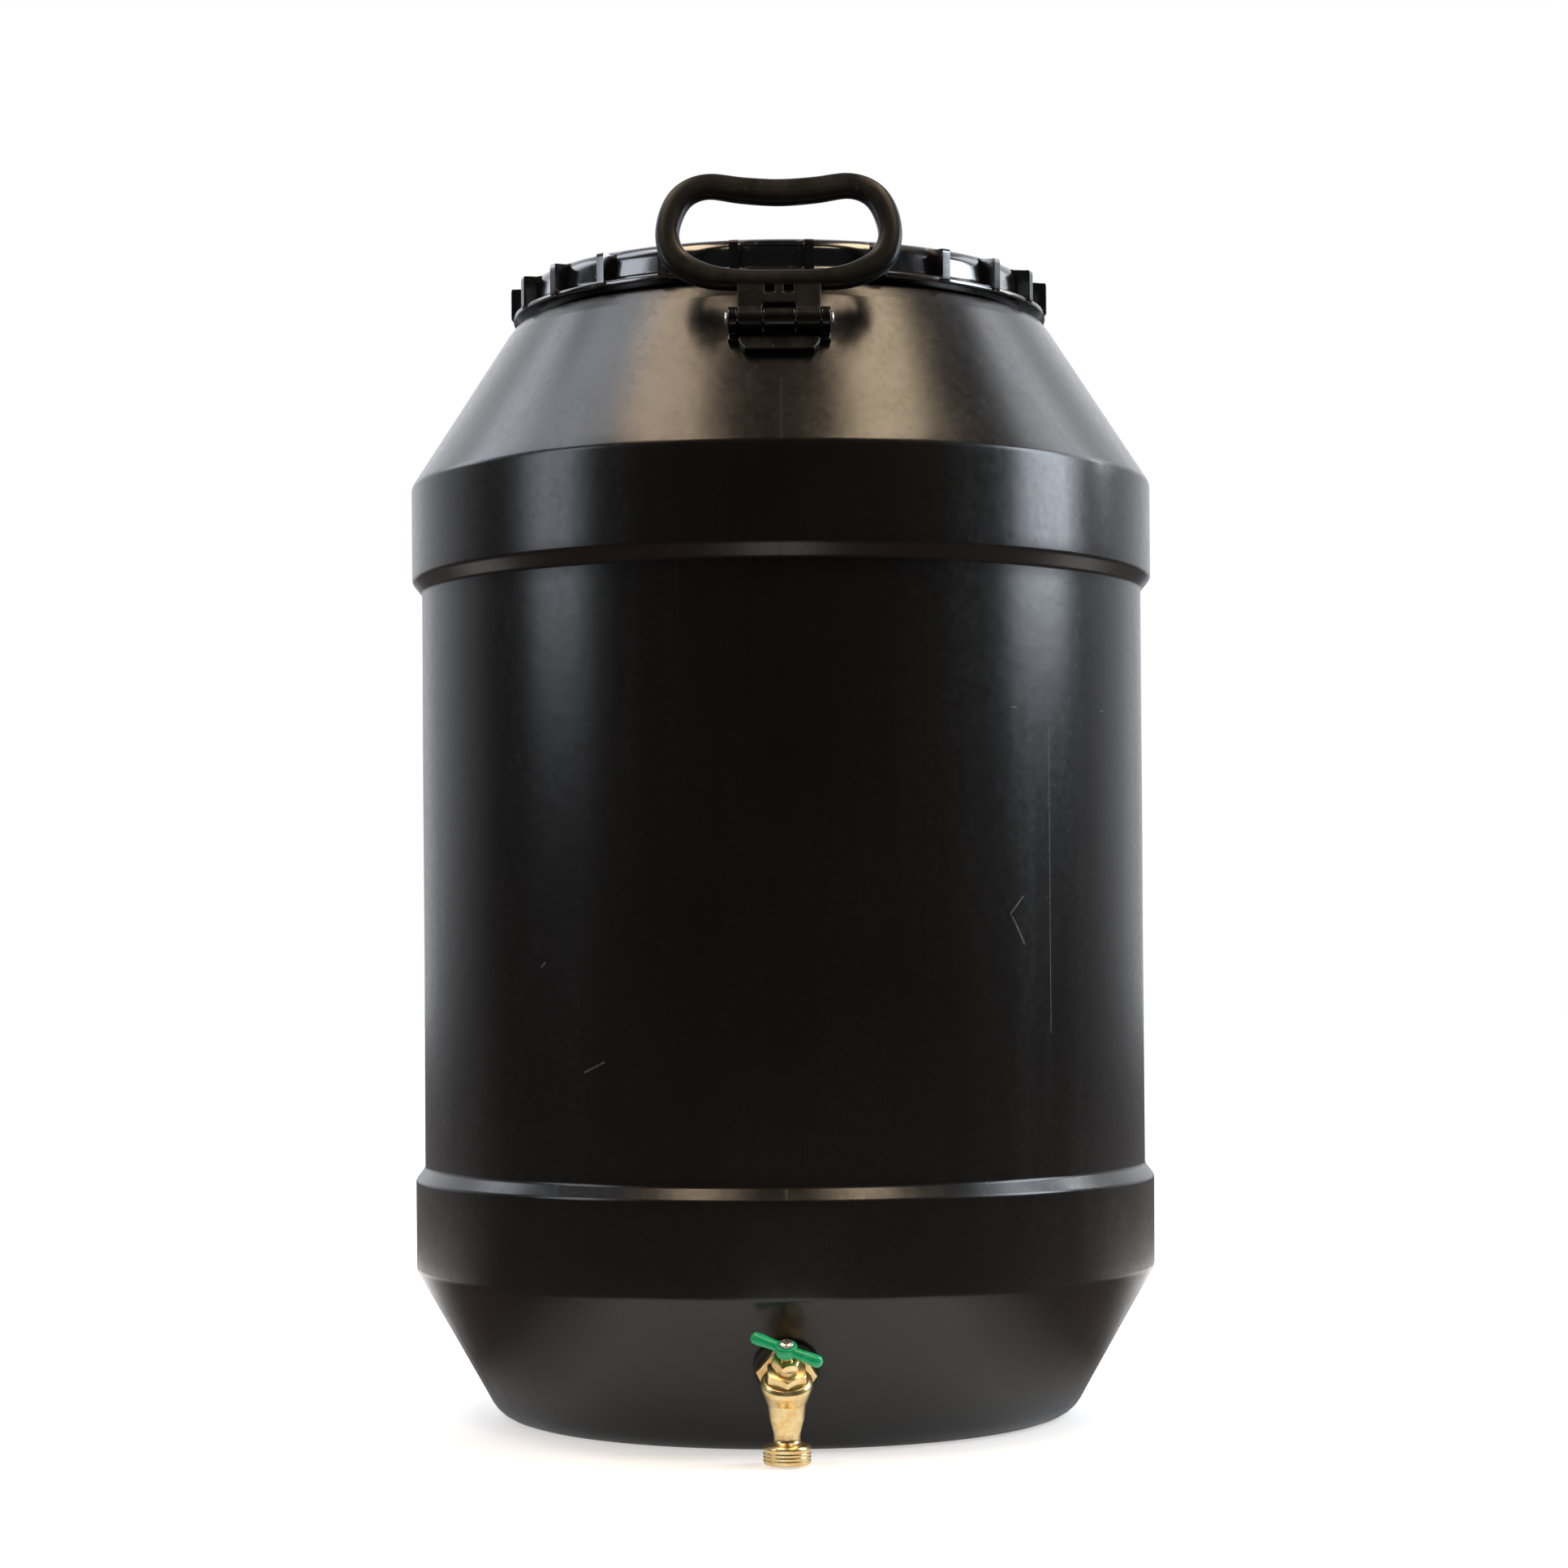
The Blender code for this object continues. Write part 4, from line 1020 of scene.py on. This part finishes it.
def build_tap_body(centre):
    """The cast body: belly, wrench flange, spout with its hose collar, and the shank."""
    spout_turn = Matrix.Rotation(math.pi - LOWER_TILT, 4, "X")
    belly = [
        (0, -15, 0), (9, -14, 5), (14, -8, 8), (17, 2, 10), (19.3, 9.5, 3), (19.3, 13.2, 1.5),
        (17.2, 16, 0.6), (0, 16, 0),
    ]
    spout = [(0, -2, 0), (12, -2, 0), (14, 8, 6), (13, 17, 14), (10.1, 27, 12), (9.9, 33.5, 4), (12, 35.3, 2),
             (16.4, 36, 1.5), (18, 38.2, 1.5)]
    for ridge in (41.0, 43.6, 46.2):
        spout += [(17.9, ridge - 0.7, 0.2), (17.0, ridge, 0.2), (17.9, ridge + 0.7, 0.2)]
    spout += [(17.6, 49.3, 0.8), (16.4, SPOUT_LENGTH, 0.3), (0, SPOUT_LENGTH, 0)]
    flange_ends = (TAP_REACH - FLANGE_REACH, TAP_REACH - GASKET_THICK - GAP)
    flange = as_mesh(hex_nut(FLANGE_HEX, *flange_ends, math.radians(5)))
    pieces = [
        turned(belly, 64, 4),
        moved(turned(spout, 64), spout_turn),
        on_y(rod(12, 0.5, TAP_REACH - 8)),
        on_y(flange),
        on_y(rod(SHANK_R, TAP_REACH - 6, TAP_REACH + 24, 1.0)),
    ]
    cuts = [
        rod(10.5, -7, 20),
        rod(6.5, -15, 0),
        moved(rod(7.5, 14, SPOUT_LENGTH + 2), spout_turn),
        on_y(rod(6.5, 0, TAP_REACH + 30)),
    ]
    made = moulded(joined(pieces, cuts), 0.5, 3)
    piece("tap_casting", moved(made, centre), "drum", "brass", "tap_body", 50)


def build_tap_head(centre):
    """The bonnet, packing nut, spindle, seat washer and its screw."""
    bonnet = hex_nut(16.3, 16 + GAP, 24, math.radians(32))
    combine(bonnet, rod(10.2, 7, 18, 0.4), "UNION")
    combine(bonnet, rod(9.2, 23, 27, 0.5), "UNION")
    combine(bonnet, rod(STEM_R + 0.4, 0, 30), "DIFFERENCE")
    combine(bonnet, rod(7.6, 22, 30), "DIFFERENCE")
    nut = hex_nut(11.3, 27 + GAP, 34, math.radians(14), bore=STEM_R + 0.4, chamfer=0.16)
    packing = washer(STEM_R + 0.4, 7.3, 22 + GAP, 26.5, 0.4, 40)
    stem_corners = [
        (0, -2.4, 0), (9, -2.4, 0.4), (9, 0.6, 0.4), (STEM_R, 2, 0.5),
        (STEM_R, STEM_TOP, 0.5), (0, STEM_TOP, 0),
    ]
    stem = joined([turned(stem_corners, 48)], [rod(2.2, -4, 6), rod(2.2, 37, 50)])
    seat = washer(2.3, 9, -6.7, -2.7, 0.5, 40)
    seat_screw = moved(screw_mesh(4.5, 1.8, -4, 7.0, 2.0), Matrix.Rotation(math.pi, 4, "X"))
    for name, shape, slot, body, node in (
        ("tap_bonnet_hex", bevelled(bonnet, 0.3), "brass", "drum", "tap_bonnet"),
        ("tap_gland_nut", bevelled(nut, 0.25), "brass", "drum", "tap_packing_nut"),
        ("tap_gland_seal", packing, "rubber_black", "drum", "tap_packing"),
        ("tap_spindle_rod", stem, "brass", "tap_spindle", "tap_stem"),
        ("tap_jumper", seat, "rubber_black", "tap_valve", "tap_seat_washer"),
        ("tap_jumper_screw", seat_screw, "steel", "tap_valve", "tap_seat_screw"),
    ):
        piece(name, moved(shape, centre), body, slot, node)


def build_tap_handle(centre):
    """The green T-bar with its swollen ends, and the domed screw in its hub."""
    tip = BAR_HALF
    half = [(4.0, 10, 6), (4.2, 16, 8), (4.8, tip - 6.5, 8), (4.5, tip - 2.0, 2.2), (2.6, tip, 1.2)]
    bar = [(0, -tip, 0)] + [(r, -z, f) for r, z, f in reversed(half)] + half + [(0, tip, 0)]
    arms = lifted(on_x(lathe(rounded(bar, 4, 4), 40)), 42)
    hub_corners = [
        (0, 37.5, 0), (7.0, 37.5, 1), (8.3, 39.5, 2), (8.3, 44.6, 2), (7.2, HUB_TOP, 0.8), (0, HUB_TOP, 0),
    ]
    hub = turned(hub_corners, 48, 4)
    made = moulded(joined([hub, moved(arms, Matrix.Rotation(BAR_TURN, 4, "Z"))]), 0.4, 4)
    combine(made, rod(STEM_R + GAP, 30, 50), "DIFFERENCE")
    piece("tap_t_bar", moved(made, centre), "tap_spindle", "tap_green", "tap_handle", 60)
    cap = screw_mesh(5.4, 1.9, 39, HUB_TOP + GAP, 2.2)
    piece("tap_cap_screw", moved(cap, centre), "tap_spindle", "steel", "tap_handle_screw")


def build_overflow(wall):
    """The barbed overflow spigot."""
    tail = [(0, 8, 0), (11, 8, 0), (11, 17, 0.5)]
    for start in (17, 24, 31):
        tail += [(12.6, start + 0.6, 0.4), (10.4, start + 7, 0.4)]
    tail += [(9.6, 41, 0.5), (0, 41, 0)]
    profile = [(r, -z, f) for r, z, f in tail]
    flange = as_mesh(hex_nut(FLANGE_HEX, -FLANGE_REACH, -GASKET_THICK - GAP))
    pieces = [
        on_y(turned(profile, 64)),
        on_y(flange),
        on_y(rod(SHANK_R, -6, 24, 1.0)),
    ]
    made = moulded(joined(pieces, [on_y(rod(8, -50, 40))]), 0.5, 2)
    piece("overflow_spigot", moved(made, wall), "drum", "fitting_black", "overflow_fitting", 50)
    build_seals("overflow", wall, "fitting_black")


def build_barrel():
    """Every visible piece of the barrel."""
    spindle = JOINTS["tap_turn"]
    axis = Vector(spindle["axis"])
    centre = Matrix.Translation(spindle["pos_m"]) @ Matrix.Rotation(math.atan2(-axis.y, axis.z), 4, "X")
    tap_wall = centre @ Matrix.Translation((0, TAP_REACH * MM, 0))
    gasket_low, gasket_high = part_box("overflow_outer_gasket")
    overflow_z = (gasket_low.z + gasket_high.z) / 2
    overflow_wall = Matrix.Rotation(math.pi, 4, "Z") @ Matrix.Translation((0, -BAND_R * MM, overflow_z))
    build_drum(tap_wall, overflow_wall)
    build_lid_ring()
    build_lid_cover()
    build_loops()
    build_tap_body(centre)
    build_tap_head(centre)
    build_tap_handle(centre)
    build_seals("tap", tap_wall, "brass")
    build_overflow(overflow_wall)


# -------- studio

CAMERA_DISTANCE = 9.3 * BAND_R
CAMERA_HEIGHT = 386.0
LENS = 78.4
ROLL = math.radians(0.4)
SHIFT_RIGHT = 0.0002
SHIFT_UP = 0.103
FLOOR_R = 14.0
NEAR_GLOW = 0.55
FAR_GLOW = 0.95
FRONT_FILL = 0.26


def softbox(name, place, target, size, power, colour=(1, 1, 1)):
    """A rectangular area light that faces a point, everything in metres and watts."""
    data = bpy.data.lights.new(name, "AREA")
    data.shape = "RECTANGLE"
    data.size, data.size_y = size
    data.energy = power
    data.color = colour
    made = add_object(name, data)
    made.location = place
    made.rotation_mode = "QUATERNION"
    made.rotation_quaternion = (Vector(target) - Vector(place)).to_track_quat("-Z", "Y")


def build_floor():
    """A pale floor, faintly uneven, that glows a little so that it stays white round its soft shadow; out of
    the camera's sight it glows as a fill light and carries painted dark brown reflection patches.
    """
    mesh = bmesh.new()
    bmesh.ops.create_circle(mesh, cap_ends=True, radius=FLOOR_R, segments=96)
    floor = to_object(mesh, "floor")
    finish = Finish("floor_pale", 0.6)
    cloud = finish.grain(1.5, 3)
    pale = finish.blend(finish.span(cloud, 0.3, 0.7), (0.80, 0.80, 0.80), (0.84, 0.84, 0.84))
    finish.roughness(finish.span(cloud, 0.3, 0.7, 0.55, 0.7))
    x, y = finish.node("ShaderNodeSeparateXYZ", {0: finish.place}).outputs[:2]
    distance = finish.vector("LENGTH", finish.place, output=1)
    across = finish.maths("ABSOLUTE", x)
    side = finish.maths("MAXIMUM", finish.span(across, 0.20, 0.32), finish.span(y, -0.75, -1.2))
    away = finish.maths("MINIMUM", finish.span(across, 0.08, 0.17), finish.span(distance, 0.44, 0.56))
    front = finish.maths("MAXIMUM", finish.span(y, 0.28, 0.06), finish.span(distance, 0.9, 1.7))
    seen = finish.node("ShaderNodeLightPath").outputs["Is Camera Ray"]
    unseen = finish.maths("SUBTRACT", 1.0, seen)
    # Painted reflection: where only the barrel's reflections and bounced light see the floor, it is painted
    # dark brown to the sides of and in front of the barrel, so the drum reflects painted shade there.
    painted_reflection_shade = finish.times(front, unseen)
    painted_reflection_shade = finish.times(finish.maths("MAXIMUM", side, away), painted_reflection_shade)
    finish.colour(finish.blend(painted_reflection_shade, pale, (0.110, 0.075, 0.055)))
    glow = finish.times(finish.span(distance, 0.3, 1.4, NEAR_GLOW, FAR_GLOW), seen)
    fill = finish.times(finish.maths("SUBTRACT", 1.0, painted_reflection_shade), unseen)
    fill = finish.times(fill, finish.span(y, 0.20, 0.50, 1.0, 5.0))
    finish.shader.inputs["Emission Color"].default_value = (1.0, 0.97, 0.94, 1)
    strength = finish.node("ShaderNodeMath", {0: fill, 1: FRONT_FILL, 2: glow}, operation="MULTIPLY_ADD")
    finish.tree.links.new(strength.outputs[0], finish.shader.inputs["Emission Strength"])
    floor.data.materials.append(finish.material)


def build_dome():
    """The room's light: bright behind the barrel, dim behind the camera, white where the camera looks."""
    world = bpy.data.worlds.new("studio")
    bpy.context.scene.world = world
    world.use_nodes = True
    tree = world.node_tree
    tree.nodes.clear()

    direction = add_node(tree, "ShaderNodeTexCoord").outputs["Generated"]
    split = add_node(tree, "ShaderNodeSeparateXYZ", {0: direction})
    behind = {"Value": split.outputs["Y"], "From Min": 0.17, "From Max": 0.9, "To Min": 0.03, "To Max": 1.50}
    above = {"Value": split.outputs["Z"], "From Min": -0.15, "From Max": 0.35, "To Min": 0.40, "To Max": 1.05}
    shares = [add_node(tree, "ShaderNodeMapRange", ends).outputs[0] for ends in (behind, above)]
    strength = add_node(tree, "ShaderNodeMath", dict(enumerate(shares)), operation="MULTIPLY").outputs[0]
    glow = add_node(tree, "ShaderNodeBackground", {"Color": (0.93, 0.95, 1.0, 1.0), "Strength": strength})
    white = add_node(tree, "ShaderNodeBackground", {"Color": (1.0, 1.0, 1.0, 1.0)})
    seen = add_node(tree, "ShaderNodeLightPath").outputs["Is Camera Ray"]
    either = add_node(tree, "ShaderNodeMixShader", {0: seen, 1: glow.outputs[0], 2: white.outputs[0]})
    add_node(tree, "ShaderNodeOutputWorld", {"Surface": either.outputs[0]})


# Softboxes: place, what each faces, width and height, all in metres, then watts and colour.
MIDDLE = (0, 0, 0.62)
LIGHTS = {
    "left_box": ((-2.20, -0.85, 1.55), (0, 0, 1.55), (0.75, 1.50), 14, (0.84, 0.90, 1.0)),
    "right_box": ((2.30, -0.25, 1.60), (0, 0, 1.60), (0.85, 1.50), 46, (0.82, 0.90, 1.0)),
    "right_strip": ((2.05, 0.75, 1.32), MIDDLE, (0.14, 0.50), 2.8, (0.95, 0.97, 1.0)),
    "left_ceiling": ((-1.10, -0.85, 3.2), (-1.10, -0.84, 0), (0.75, 1.8), 30, (1.0, 0.76, 0.53)),
    "right_ceiling": ((1.00, -0.90, 3.2), (1.00, -0.89, 0), (0.70, 1.8), 36, (1.0, 0.78, 0.53)),
    "left_top": ((-1.40, 0.10, 2.7), MIDDLE, (0.80, 0.80), 7, (0.84, 0.90, 1.0)),
    "left_back": ((-1.90, 0.85, 2.0), MIDDLE, (0.9, 1.2), 10, (0.84, 0.90, 1.0)),
    "right_back": ((1.90, 0.85, 2.1), MIDDLE, (0.9, 1.2), 9, (0.90, 0.93, 1.0)),
}


def build_studio():
    """Camera, dome, floor and lights."""
    build_floor()
    build_dome()
    for name, settings in LIGHTS.items():
        softbox(name, *settings)
    data = bpy.data.cameras.new("camera")
    data.sensor_width = 36
    data.lens = LENS
    data.shift_x = SHIFT_RIGHT
    data.shift_y = SHIFT_UP
    camera = add_object("camera", data)
    camera.location = (0, -CAMERA_DISTANCE * MM, CAMERA_HEIGHT * MM)
    camera.rotation_euler = (math.pi / 2, ROLL, 0)
    bpy.context.scene.camera = camera
    bpy.context.scene.view_settings.view_transform = "Standard"


build_barrel()
build_studio()
